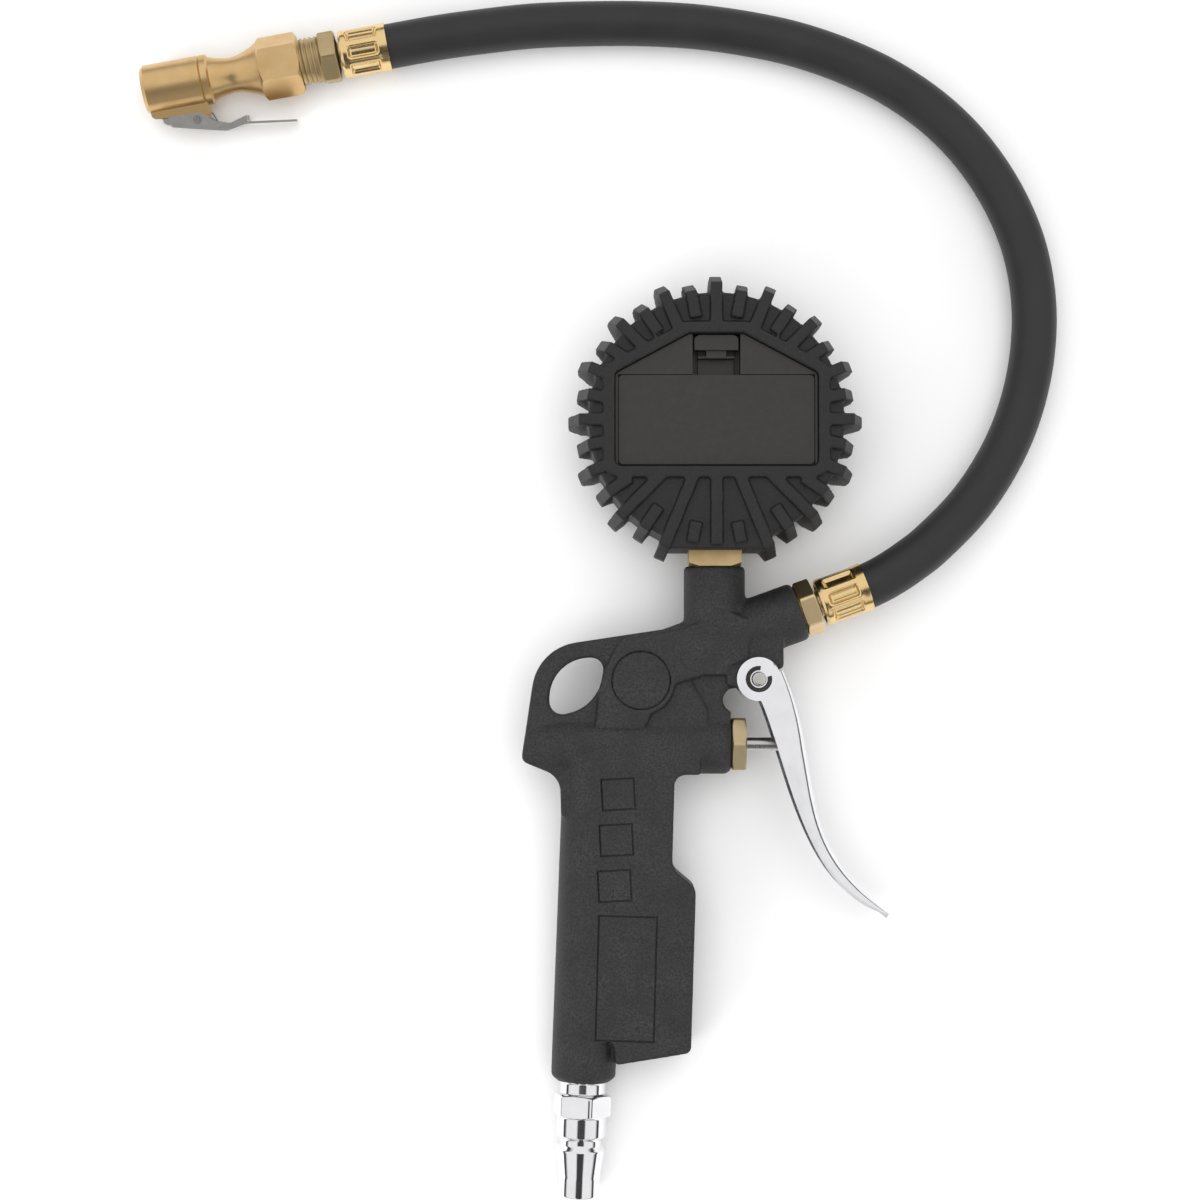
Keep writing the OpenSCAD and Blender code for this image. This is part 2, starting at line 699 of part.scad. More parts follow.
module boot_teeth()
    for (i = [0:2 * tooth_count - 1]) {
        a = i * pitch / 2;
        long = i % 2 == 0;
        side = abs(sin(a)) < 0.4;
        rib_from = long || side ? rim_at(a) : rib_short_from;
        rotate([0, 0, a])
            if (over_foot(a))
                translate([rib_from, -tooth_w / 2, boot_back - 1])
                    cube([boot_foot - 1 - rib_from, tooth_w, rib_rise + 1]);
            else
                tooth(long ? tooth_long : tooth_short, rib_from);
    }

module gauge_boot()
    color("#35353a") lay_down() difference() {
        union() {
            translate([0, 0, -boot_front])
                cylinder(h = boot_lip, r1 = boot_r - boot_lip, r2 = boot_r);
            translate([0, 0, -boot_front + boot_lip])
                cylinder(h = boot_front + boot_back - boot_lip - 1, r = boot_r);
            translate([0, 0, boot_back - 1]) cylinder(h = 1, r1 = boot_r, r2 = boot_r - 1);
            translate([-foot_w / 2, -boot_foot, -boot_front])
                cube([foot_w, 8, boot_front + boot_back]);
            boot_teeth();
            translate([0, 0, boot_back - weld]) linear_extrude(rib_rise + weld)
                polygon(window_outline(rim_w));
        }
        translate([0, 0, case_front - seat])
            cylinder(h = case_shoulder - case_front + 2 * seat, r = case_r + seat);
        translate([0, 0, -30]) cylinder(h = 30, r = case_r - 2.2);
        linear_extrude(40) polygon(window_outline(0));
        translate([0, -20, 0]) rotate([90, 0, 0]) cylinder(h = 40, d = neck_d + 0.6);
    }

// Raised panel of the case that shows in the boot's window
module case_panel()
    difference() {
        translate([0, 0, case_shoulder - weld])
            linear_extrude(case_back - case_shoulder + weld)
                polygon(window_outline(-window_gap / 2));
        translate([-door_w / 2 - loose, -door_h / 2 - loose, door_z - loose])
            linear_extrude(20) square([door_w + 2 * loose, door_h + 2 * loose]);
        translate([-latch_w / 2, 0, latch_floor]) cube([latch_w, latch_top, 20]);
    }

// Bay for the two cells, open under the door
module cell_bay(grow)
    translate([-bay_w / 2 - grow, -bay_h / 2 - grow, cell_z - cell_d / 2 - 0.3 - grow])
        cube([bay_w + 2 * grow, bay_h + 2 * grow, 40]);

module at_screws()
    for (a = [58, 122, 222, 318])
        rotate([0, 0, a]) translate([screw_ring, 0, 0]) children();

module case_back()
    color("#45413d") lay_down() difference() {
        union() {
            difference() {
                translate([0, 0, split_z]) cylinder(h = case_shoulder - split_z, r = case_r);
                translate([0, 0, split_z - 1])
                    cylinder(h = case_shoulder - case_wall - split_z + 1, r = case_r - case_wall);
            }
            case_panel();
            intersection() {
                cell_bay(bay_wall);
                translate([0, 0, split_z]) cylinder(h = case_shoulder - split_z, r = case_r - 1);
            }
            translate([-latch_w / 2 - 1, latch_low - 1, latch_floor - 1])
                cube([latch_w + 2, latch_top - latch_low + 2, case_shoulder - latch_floor + 1]);
            at_screws() translate([0, 0, split_z])
                cylinder(h = case_shoulder - split_z - 1, d = boss_d);
        }
        cell_bay(0);
        translate([-door_w / 2 - loose, -door_h / 2 - loose, door_z - loose])
            cube([door_w + 2 * loose, door_h + 2 * loose, 20]);
        translate([-latch_w / 2, latch_low - 2, latch_floor])
            cube([latch_w, latch_top - latch_low + 2, 20]);
        translate([-latch_w / 2 + 2, -door_h / 2 - loose - 1.4, door_z - 2.3])
            cube([latch_w - 4, 4, 1.8]);
        translate([-latch_w / 2 + 2, -door_h / 2 - loose, door_z - 2.3]) cube([latch_w - 4, 4, 3]);
        translate([0, -case_r + 8, 0]) rotate([90, 0, 0]) cylinder(h = 20, d = port_d);
        at_screws() translate([0, 0, split_z - 1]) cylinder(h = 9, d = screw_d + 2 * seat);
    }

module case_front()
    color("#3a3836") lay_down() difference() {
        union() {
            difference() {
                translate([0, 0, case_front])
                    cylinder(h = split_z - case_front - seat, r = case_r);
                translate([0, 0, case_front + case_wall]) cylinder(h = 40, r = case_r - case_wall);
            }
            at_screws() translate([0, 0, case_front + 1])
                cylinder(h = split_z - case_front - 1 - seat, d = boss_d);
        }
        translate([-lens_w / 2 + 2, lens_y - lens_h / 2 + 2, -30])
            cube([lens_w - 4, lens_h - 4, 30]);
        translate([-lens_w / 2 - loose, lens_y - lens_h / 2 - loose, lens_z])
            cube([lens_w + 2 * loose, lens_h + 2 * loose, 20]);
        for (x = [-button_gap / 2, button_gap / 2])
            translate([x, button_y, -30]) cylinder(h = 30, d = button_d + 2 * loose);
        translate([0, -case_r + 8, 0]) rotate([90, 0, 0]) cylinder(h = 20, d = port_d);
        at_screws() {
            translate([0, 0, -30]) cylinder(h = 40, d = screw_d + 0.4);
            translate([0, 0, case_front - 1]) cylinder(h = 2.6, d = 4.4);
        }
    }

module case_screws()
    color("#8f8f92") lay_down() at_screws() translate([0, 0, case_front + 1.6 - seat]) {
        translate([0, 0, -1.2]) cylinder(h = 1.2, d = 4);
        cylinder(h = split_z - case_front + 5, d = screw_d);
    }

// Door with a tongue along its lower edge and a sprung latch along its upper edge
module battery_door()
    color("#45413d") lay_down() translate([0, 0, door_z]) {
        linear_extrude(door_t) polygon(rounded([
            [-door_w / 2, -door_h / 2, 1.3], [door_w / 2, -door_h / 2, 1.3],
            [door_w / 2, door_h / 2, 1.3], [-door_w / 2, door_h / 2, 1.3]
        ]));
        translate([-latch_w / 2 + 2.6, -door_h / 2 - 1, -1.9]) cube([latch_w - 5.2, 2.4, 1.2]);
        translate([-latch_w / 2 + 2.6, -door_h / 2 + 0.4, -1.9]) cube([latch_w - 5.2, 1, 2.4]);
        translate([-latch_arm_w / 2, door_h / 2 - 1.2, latch_arm_z])
            cube([latch_arm_w, 1.2, 0.4 - latch_arm_z]);
        translate([-latch_arm_w / 2, door_h / 2 - 1.2, latch_arm_z])
            cube([latch_arm_w, tab_low - door_h / 2 + 2.4, latch_arm_t]);
        translate([-latch_arm_w / 2, tab_low - tongue_h, latch_arm_z])
            cube([latch_arm_w, 0.7, crossbar_z - latch_arm_z]);
        translate([-tongue_w / 2, tab_low - tongue_h, latch_arm_z])
            cube([tongue_w, tongue_h + 0.6, -latch_arm_z]);
        translate([0, 0, -2]) linear_extrude(door_t + 1.6) polygon(rounded([
            [-latch_w / 2 + 0.5, tab_low, 0], [latch_w / 2 - 0.5, tab_low, 0],
            [latch_w / 2 - 0.5, tab_top, 1.6], [-latch_w / 2 + 0.5, tab_top, 1.6]
        ]));
    }

module battery_cells()
    color("#8a8f96") lay_down() for (s = [-1, 1])
        translate([0, s * (cell_d / 2 + 0.2), cell_z]) rotate([0, 90 * s, 0]) {
            translate([0, 0, -cell_l / 2]) cylinder(h = cell_l - 1, d = cell_d);
            translate([0, 0, cell_l / 2 - 1.5]) cylinder(h = 1.5, d = 3.8);
        }

module battery_contacts()
    color("#c0c0c0") lay_down() for (s = [-1, 1]) {
        translate([s * (cell_l / 2 + 1.45), 0, cell_z])
            cube([0.4, 2 * cell_d - 4, 7], center = true);
        translate([s * (cell_l / 2 + 1.3), -s * (cell_d / 2 + 0.2), cell_z]) rotate([0, -90 * s, 0])
            cylinder(h = 1.2, d1 = 6, d2 = 3);
    }

module circuit_board()
    color("#2f6b45") lay_down() difference() {
        union() {
            translate([0, 0, board_z]) cylinder(h = board_t, r = screw_ring - 3);
            translate([-7, 14, board_z + board_t - 0.1]) cube([10, 8, 1.5]);
            translate([8, 15, board_z + board_t - 0.1]) cube([6, 5, 1.2]);
            for (x = [-button_gap / 2, button_gap / 2])
                translate([x, button_y, board_z - switch_t]) cylinder(h = switch_t + 0.1, d = 4);
        }
        translate([-lens_w / 2 + 5, lens_y - lens_h / 2 - 1, board_z - 1]) cube([3, 2, 10]);
    }

module display_panel()
    color("#a7b0a0") lay_down()
        translate([-lens_w / 2 + 2, lens_y - lens_h / 2 + 1, board_z - display_t - seat])
            cube([lens_w - 4, lens_h - 2, display_t]);

module display_lens()
    color("#dfe6ea") lay_down()
        translate([-lens_w / 2, lens_y - lens_h / 2, lens_z + seat])
            cube([lens_w, lens_h, lens_t]);

module front_button(x)
    lay_down() translate([x, button_y, 0]) {
        translate([0, 0, case_front - button_rise])
            cylinder(h = case_wall + button_rise + 0.6, d = button_d);
        translate([0, 0, case_front + case_wall + 0.2]) cylinder(h = 0.9, d = button_d + 1.6);
        translate([0, 0, case_front + case_wall]) cylinder(h = button_stem, d = 3);
    }

module power_button() color("#a33a2c") front_button(-button_gap / 2);

module unit_button() color("#8d8d8d") front_button(button_gap / 2);

// ---- Hose ends and hose ----

// Hexagon with a thread behind it and a tail for the hose in front
module hose_end(thread, turn)
    difference() {
        union() {
            translate([0, 0, -thread]) cylinder(h = thread + 0.1, d = thread_d);
            rotate([0, 0, turn]) nut_head(hose_af, hex_l);
            translate([0, 0, hex_l - 0.1]) cylinder(h = tail_l, d = tail_d);
        }
        translate([0, 0, -thread - 1]) cylinder(h = thread + hex_l + tail_l + 2, d = tail_bore);
    }

// Crimped sleeve with its back closed down onto the tail and pressed flutes round it
module ferrule()
    translate([0, 0, hex_l + ferrule_gap]) difference() {
        turned([
            [tail_d / 2 + seat, 0], [ferrule_d / 2 - 0.8, 0], [ferrule_d / 2, 0.8],
            [ferrule_d / 2, ferrule_l - 0.5], [ferrule_d / 2 - 0.4, ferrule_l],
            [hose_d / 2 + seat, ferrule_l], [hose_d / 2 + seat, ferrule_wall],
            [tail_d / 2 + seat, ferrule_wall]
        ]);
        for (i = [0:flute_count - 1]) rotate([0, 0, 360 / flute_count * i])
            translate([ferrule_d / 2 - 0.25, -flute_w / 2, (ferrule_l - flute_l) / 2])
                cube([2, flute_w, flute_l]);
    }

module hose_fitting() color("#b89a5c") outlet_frame() hose_end(thread_l, gun_hex_turn);

module gun_ferrule() color("#d8b25a") outlet_frame() ferrule();

module chuck_fitting()
    color("#958458") along_chuck(fitting_s) hose_end(thread_shown + thread_l - 2, fitting_turn);

module chuck_ferrule() color("#d8b25a") along_chuck(fitting_s) ferrule();

function lerp(a, b, t) = a + (b - a) * t;

// Smooth curve through the route's own points
function spline(p, i, t) =
    let (a = p[max(0, i - 1)],
         b = p[i],
         c = p[i + 1],
         d = p[min(len(p) - 1, i + 2)])
    0.5 * ((2 * b) + (c - a) * t + (2 * a - 5 * b + 4 * c - d) * t * t
           + (3 * b - a - 3 * c + d) * t * t * t);

function route(p, between) = concat(
    [for (i = [0:len(p) - 2], k = [0:between]) spline(p, i, k / (between + 1))],
    [p[len(p) - 1]]);

function heading(p, i) =
    let (d = p[min(len(p) - 1, i + 1)] - p[max(0, i - 1)]) d / norm(d);

// Tube of diameter d swept along the path p
module tube(p, d, sides) {
    points = [for (i = [0:len(p) - 1], k = [0:sides - 1])
        let (t = heading(p, i),
             side = cross(t, [0, 0, 1]) / norm(cross(t, [0, 0, 1])),
             up = cross(side, t),
             a = 360 * (k + 0.5) / sides)
        p[i] + d / 2 * (cos(a) * side + sin(a) * up)];
    walls = [for (i = [0:len(p) - 2], k = [0:sides - 1])
        [i * sides + k, i * sides + (k + 1) % sides, (i + 1) * sides + (k + 1) % sides,
         (i + 1) * sides + k]];
    first = [for (k = [sides - 1:-1:0]) k];
    last = [for (k = [0:sides - 1]) (len(p) - 1) * sides + k];
    polyhedron(points, concat([first], walls, [last]), convexity = 10);
}

module hose()
    color("#202020") difference() {
        tube(route(hose_route, hose_rings_between), hose_d, hose_sides);
        outlet_frame() cylinder(h = hex_l + tail_l, d = tail_d + 2 * seat);
        along_chuck(fitting_s) cylinder(h = hex_l + tail_l, d = tail_d + 2 * seat);
    }

// ---- Chuck ----

// Half section of the waist behind the head, from [radius, place] near the ring to the hexagon
function waist_section(from, to) =
    [for (i = [0:12])
        let (t = i / 12)
        [lerp(head_d / 2 - 0.9, waist_d / 2, sin(180 * min(0.5, t * 1.1)))
         + (chuck_af - waist_d) / 2 * pow(max(0, (t - 0.45) / 0.55), 1.6), lerp(from, to, t)]];

module chuck_body()
    color("#c9a45c") difference() {
        union() {
            along_chuck(0) turned(concat(
                [[0, 0], [head_d / 2 - 1, 0], [head_d / 2, 1], [head_d / 2, head_l - 0.3],
                 [head_d / 2 - 0.4, head_l], [head_d / 2, head_l + 0.3],
                 [head_d / 2, head_l + ring_l - 0.3], [head_d / 2 - 0.5, head_l + ring_l]],
                waist_section(head_l + ring_l + 0.2, neck_end),
                [[0, neck_end]]));
            along_chuck(neck_end - 0.1) rotate([0, 0, chuck_hex_turn])
                nut_head(chuck_af, hex_end - neck_end, 0.8);
            chuck_frame() intersection() {
                translate([1, -lug_u, -lug_w / 2]) cube([lug_end - 1, lug_u, lug_w]);
                linear_extrude(20, center = true) polygon([
                    [1, 0], [1, -7.6], [1.8, -8.3], [clip_pin_s - 4.2, -8.9],
                    [clip_pin_s - 2.2, -lug_u], [clip_pin_s + 2.2, -lug_u],
                    [lug_end - 0.6, -9.8], [lug_end, -9.6], [lug_end, 0]
                ]);
            }
        }
        along_chuck(-1) cylinder(h = mouth_depth + 1, d = mouth_d);
        along_chuck(mouth_depth - 0.5) cylinder(h = seal_t + 1, d = seal_d + 2 * running);
        along_chuck(5) cylinder(h = 60, d = 4.6);
        along_chuck(depressor_collar - 1) cylinder(h = 14, d = 6.4);
        along_chuck(hex_end - thread_l + 1) cylinder(h = 20, d = thread_d + 2 * seat);
        chuck_frame() {
            translate([1.9, -20, -2.2]) cube([3.1, 20, 4.4]);
            translate([clip_pin_s, -clip_pin_u, -20]) cylinder(h = 40, d = clip_pin_d + 2 * seat);
        }
    }

module chuck_seal()
    color("#222222") along_chuck(mouth_depth) turned([
        [2.4, 0], [seal_d / 2, 0], [seal_d / 2, seal_t], [2.4, seal_t]
    ]);

module core_depressor()
    color("#b9924e") along_chuck(0) turned([
        [0, mouth_depth - 0.3], [1.1, mouth_depth - 0.3], [1.5, mouth_depth + 0.3],
        [1.5, depressor_collar], [2.9, depressor_collar], [2.9, depressor_collar + 1.6],
        [1.2, depressor_collar + 1.6], [1.2, depressor_collar + 3], [0, depressor_collar + 3]
    ]);

module depressor_spring()
    color("#9a9a9a") along_chuck(depressor_collar + 1.7) coil(2.1, 0.6, 11.1, 6);

// Side of the clip: jaw end, pin, waist, back web and the rest for a finger
function clip_flange() = rounded([
    [6.2, -8.4, 0], [14.6, -8.7, 0.5], [18.5, -11.8, 2], [22.3, -13.1, 2], [27.6, -11.7, 0],
    [27.4, -14.0, 0], [21.2, -15.1, 0.8], [6, -11.4, 0.5]
]);

module clip_lever()
    color("#b7b3b0") chuck_frame() difference() {
        union() {
            for (s = [-1, 1])
                translate([0, 0, s * (clip_in + clip_t / 2)]) slab(clip_flange(), clip_t);
            intersection() {
                slab(clip_flange(), 2 * clip_out);
                slab([
                    [16.6, -13.3], [21.3, -14.3], [27.4, -13.2], [28, -20], [16.6, -20]
                ], 2 * clip_out);
            }
            slab([[26, -13.3], [41.2, -15.4], [41.2, -16], [26, -14]], 2 * clip_in);
            for (s = [-1, 1])
                translate([0, 0, s * (clip_in + clip_t / 2)])
                    slab([[4.2, -9], [7, -8.4], [7, -10.6], [5, -10.6], [4, -9.8]], clip_t);
            slab([[3, -6.6], [4.0, -6.6], [5, -9], [5, -10.6], [4, -9.8]], 3.8);
            slab([[4, -9.8], [4.2, -9], [5, -9], [5, -10.6]], 2 * clip_out);
        }
        translate([clip_pin_s, -clip_pin_u, -20]) cylinder(h = 40, d = clip_pin_d + 2 * running);
    }

module clip_pin()
    color("#9a9896") chuck_frame() translate([clip_pin_s, -clip_pin_u, -clip_out - 0.4])
        cylinder(h = 2 * (clip_out + 0.4), d = clip_pin_d);

// Leaf spring between the lug and the clip, bent from strip
module clip_spring()
    color("#8a8886") chuck_frame() slab([
        [lug_end + 0.2, -9.2], [lug_end + 0.5, -9.2], [lug_end + 1.9, -12.9], [lug_end + 1.7, -13.2]
    ], 2);

gun_body();
boss_cap();
trigger_lever();
pivot_pin();
pivot_clip();
push_pin();
gland_nut();
gland_seal();
valve_seat();
valve_poppet();
valve_spring();
inlet_plug();
gauge_connector();
connector_seal();
pressure_sensor();
gauge_boot();
case_back();
case_front();
case_screws();
battery_door();
battery_cells();
battery_contacts();
circuit_board();
display_panel();
display_lens();
power_button();
unit_button();
hose_fitting();
gun_ferrule();
hose();
chuck_ferrule();
chuck_fitting();
chuck_body();
chuck_seal();
core_depressor();
depressor_spring();
clip_lever();
clip_pin();
clip_spring();
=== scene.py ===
import math

import bmesh
import bpy
import numpy as np
from mathutils import Matrix, Vector


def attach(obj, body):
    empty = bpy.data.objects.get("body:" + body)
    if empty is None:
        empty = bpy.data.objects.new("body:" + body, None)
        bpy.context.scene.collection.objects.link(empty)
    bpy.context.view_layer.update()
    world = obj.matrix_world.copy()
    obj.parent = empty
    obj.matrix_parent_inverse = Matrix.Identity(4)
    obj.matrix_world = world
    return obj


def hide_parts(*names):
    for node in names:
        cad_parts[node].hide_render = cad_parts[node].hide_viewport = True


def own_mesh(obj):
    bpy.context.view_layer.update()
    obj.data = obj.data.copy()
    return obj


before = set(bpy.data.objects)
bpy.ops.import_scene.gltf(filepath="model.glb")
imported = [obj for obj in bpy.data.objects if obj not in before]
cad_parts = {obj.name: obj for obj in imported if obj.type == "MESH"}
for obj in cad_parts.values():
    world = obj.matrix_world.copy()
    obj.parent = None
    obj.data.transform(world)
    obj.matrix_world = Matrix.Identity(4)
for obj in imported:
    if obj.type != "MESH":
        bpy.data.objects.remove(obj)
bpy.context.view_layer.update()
scene = bpy.context.scene


# ---------------------------------------------------------------- Camera, floor and light
# The inflator lies on its side on a pale table, and the camera looks straight down on it
# from 0.7 m. A white tent stands all round, and chrome and brass mirror a dark slot overhead
# and a dark skirt as their dark lines. A softbox overhead and a key at the lower left add light.

camera = bpy.data.objects.new("camera", bpy.data.cameras.new("camera"))
scene.collection.objects.link(camera)
scene.camera = camera
camera_at = Vector((-0.0260, -0.0145, 0.7130))
looked_at = Vector((-0.0287, 0.0380, 0.0130))
away = (camera_at - looked_at).normalized()
right = Vector((0, 1, 0)).cross(away).normalized()
camera.matrix_world = Matrix.Translation(camera_at) @ Matrix(
    (right, away.cross(right), away)).transposed().to_4x4()
camera.data.sensor_width = 36
camera.data.lens = 18 / math.tan(math.radians(26.75) / 2)
camera.data.clip_start = 0.01

scene.view_settings.view_transform = "Standard"


def linear(hex_code):
    """A colour given as sRGB hex, in the linear values that shaders take."""
    channels = [int(hex_code[i:i + 2], 16) / 255 for i in (1, 3, 5)]
    return [c / 12.92 if c <= 0.04045 else ((c + 0.055) / 1.055) ** 2.4 for c in channels] + [1]


def add_node(tree, kind, inputs=None, **settings):
    """A node with its settings, each input fed from another node's output or set to a value."""
    node = tree.nodes.new(kind)
    for setting, value in settings.items():
        setattr(node, setting, value)
    for socket, value in (inputs or {}).items():
        if isinstance(value, bpy.types.NodeSocket):
            tree.links.new(value, node.inputs[socket])
        else:
            node.inputs[socket].default_value = value
    return node


def new_finish(name, sockets):
    """A material with one shader, whose even values are set on its own sockets."""
    finish = bpy.data.materials.new(name)
    finish.use_nodes = True
    shader = finish.node_tree.nodes["Principled BSDF"]
    for socket, value in sockets.items():
        shader.inputs[socket].default_value = value
    return finish, finish.node_tree, shader


world = bpy.data.worlds.new("studio")
world.use_nodes = True
tree = world.node_tree
heading = add_node(tree, "ShaderNodeSeparateXYZ", {
    0: add_node(tree, "ShaderNodeTexCoord").outputs["Generated"]})
height = add_node(tree, "ShaderNodeMath", {0: heading.outputs["Z"], 1: 0.02}, operation="MAXIMUM")
across, along = [
    add_node(tree, "ShaderNodeMath", {0: heading.outputs[axis], 1: height.outputs[0]}, operation="DIVIDE")
    for axis in ("X", "Y")]
off_centre = add_node(tree, "ShaderNodeMath", {0: across.outputs[0]}, operation="ABSOLUTE")
beside_slot = add_node(tree, "ShaderNodeMapRange", {
    "Value": off_centre.outputs[0], "From Min": 0.26, "From Max": 0.40}, interpolation_type="SMOOTHSTEP")
above_slot = add_node(tree, "ShaderNodeMapRange", {
    "Value": along.outputs[0], "From Min": -0.20, "From Max": -0.14}, interpolation_type="SMOOTHSTEP")
tent = add_node(tree, "ShaderNodeMath", {
    0: beside_slot.outputs[0], 1: above_slot.outputs[0]}, operation="MAXIMUM")
skirt = add_node(tree, "ShaderNodeMapRange", {
    "Value": heading.outputs["Z"], "From Min": 0.14, "From Max": 0.36}, interpolation_type="SMOOTHSTEP")
bright = add_node(tree, "ShaderNodeMath", {0: tent.outputs[0], 1: skirt.outputs[0]}, operation="MULTIPLY")
mirrored = add_node(tree, "ShaderNodeMapRange", {"Value": bright.outputs[0], "To Min": 0.05, "To Max": 0.94})
glow = add_node(tree, "ShaderNodeMapRange", {
    "Value": add_node(tree, "ShaderNodeLightPath").outputs["Is Glossy Ray"],
    "To Min": 0.86, "To Max": mirrored.outputs[0]})
background = tree.nodes["Background"]
tree.links.new(glow.outputs[0], background.inputs["Color"])
scene.world = world

for name, place, size, watts in (
        ("overhead_softbox", (0.0, 0.05, 1.40), (1.6, 1.6), 9.0),
        ("key_lower_left", (-0.75, -0.55, 0.42), (0.5, 0.5), 3.0)):
    light = bpy.data.lights.new(name, "AREA")
    light.shape = "RECTANGLE"
    light.size, light.size_y = size
    light.energy = watts
    lamp = bpy.data.objects.new(name, light)
    lamp.location = place
    lamp.rotation_euler = (Vector((0, 0.05, 0)) - Vector(place)).to_track_quat("-Z", "Y").to_euler()
    lamp.visible_glossy = False
    lamp.visible_camera = False
    scene.collection.objects.link(lamp)

table_mesh = bpy.data.meshes.new("table")
table_mesh.from_pydata([(-3, -3, -0.0002), (3, -3, -0.0002), (3, 3, -0.0002), (-3, 3, -0.0002)],
                       [], [(0, 1, 2, 3)])
table = bpy.data.objects.new("table", table_mesh)
scene.collection.objects.link(table)
# White laminate: matt, with a slight mottle.
laminate, tree, shader = new_finish("white_laminate", {"Roughness": 0.75})
place = add_node(tree, "ShaderNodeTexCoord").outputs["Object"]
mottle = add_node(tree, "ShaderNodeTexNoise", {"Vector": place, "Scale": 40, "Detail": 2})
tone = add_node(tree, "ShaderNodeMixRGB", {
    "Fac": mottle.outputs["Fac"], "Color1": linear("#f7f7f7"), "Color2": linear("#fbfbfb")})
tree.links.new(tone.outputs["Color"], shader.inputs["Base Color"])
table_mesh.materials.append(laminate)


# ---------------------------------------------------------------- Hose
# Air hose of extruded black rubber over a braid, 12.6 mm across. Its ends are pushed onto tails
# and squeezed by the two crimped ferrules, and the rest lies on the table in one wide turn.

hose_d = 0.0126
hose_bore = 0.0078
hose_route = [Vector(p) / 1000 for p in (
    (33.7, 37.4, 15.3), (39.3, 39.4, 15.4), (45.0, 41.5, 15.5), (51.1, 44.6, 15.3),
    (57.6, 48.9, 14.8), (64.0, 54.0, 13.8), (74.5, 64.7, 11.0), (83.2, 77.4, 8.4),
    (89.4, 91.0, 6.9), (93.2, 106.3, 6.4), (94.1, 122.1, 6.4), (91.7, 138.0, 6.4),
    (86.0, 152.6, 6.4), (77.4, 166.1, 6.4), (66.8, 177.2, 6.4), (54.0, 186.3, 6.4),
    (40.7, 192.8, 6.4), (26.5, 197.7, 6.4), (12.1, 200.8, 6.4), (-2.6, 202.8, 6.4),
    (-18.4, 203.6, 6.4), (-34.1, 203.5, 6.5), (-48.2, 202.8, 6.8), (-61.4, 201.2, 7.3),
    (-74.5, 199.2, 7.9), (-89.1, 196.4, 8.3), (-95.1, 195.3, 8.3), (-101.0, 194.2, 8.3))]


def through(points, steps):
    """A smooth line through the given points, with so many steps between each two."""
    line = []
    for i in range(len(points) - 1):
        a, b = points[max(0, i - 1)], points[i]
        c, d = points[i + 1], points[min(len(points) - 1, i + 2)]
        for k in range(steps):
            t = k / steps
            line.append(0.5 * (2 * b + (c - a) * t + (2 * a - 5 * b + 4 * c - d) * t ** 2
                               + (3 * b - a - 3 * c + d) * t ** 3))
    return line + [points[-1].copy()]


def new_piece(name, mesh, finish=None):
    """An object at the origin that shows the mesh."""
    if finish:
        mesh.materials.clear()
        mesh.materials.append(finish)
    piece = bpy.data.objects.new(name, mesh)
    scene.collection.objects.link(piece)
    return piece


hose_line = through(hose_route, 8)
hose_sides = 40
hose_verts, hose_faces, hose_uvs = [], [], []
hose_run = [0.0]
for a, b in zip(hose_line, hose_line[1:]):
    hose_run.append(hose_run[-1] + (b - a).length)
crimp_reach = 0.0112
crimp_depth = 0.0007
for i, middle in enumerate(hose_line):
    from_end = min(hose_run[i], hose_run[-1] - hose_run[i])
    neck = crimp_depth * min(1.0, max(0.0, (crimp_reach - from_end) / 0.0012))
    ahead = (hose_line[min(i + 1, len(hose_line) - 1)] - hose_line[max(i - 1, 0)]).normalized()
    side = ahead.cross(Vector((0, 0, 1))).normalized()
    up = side.cross(ahead)
    for radius in (hose_d / 2 - neck, hose_bore / 2):
        for k in range(hose_sides):
            a = 2 * math.pi * k / hose_sides
            hose_verts.append(middle + radius * (math.cos(a) * side + math.sin(a) * up))
last = len(hose_line) - 1
for i in range(last):
    for k in range(hose_sides):
        here, there = 2 * hose_sides * i, 2 * hose_sides * (i + 1)
        n = (k + 1) % hose_sides
        hose_faces.append((here + k, there + k, there + n, here + n))
        hose_uvs.append([(k, i), (k, i + 1), (k + 1, i + 1), (k + 1, i)])
        here, there = here + hose_sides, there + hose_sides
        hose_faces.append((here + n, there + n, there + k, here + k))
        hose_uvs.append([(k + 1, i), (k + 1, i + 1), (k, i + 1), (k, i)])
for i, order in ((0, 1), (last, -1)):
    for k in range(hose_sides):
        base, n = 2 * hose_sides * i, (k + 1) % hose_sides
        face = (base + k, base + n, base + hose_sides + n, base + hose_sides + k)
        hose_faces.append(face[::order])
        hose_uvs.append([(k, i), (k + 1, i), (k + 1, i), (k, i)][::order])
hose_mesh = bpy.data.meshes.new("hose_cover")
hose_mesh.from_pydata(hose_verts, [], hose_faces)
hose_map = hose_mesh.uv_layers.new(name="along")
for corner, (k, i) in enumerate(uv for face in hose_uvs for uv in face):
    hose_map.data[corner].uv = (k / hose_sides * math.pi * hose_d, hose_run[i])
hose_mesh.shade_smooth()

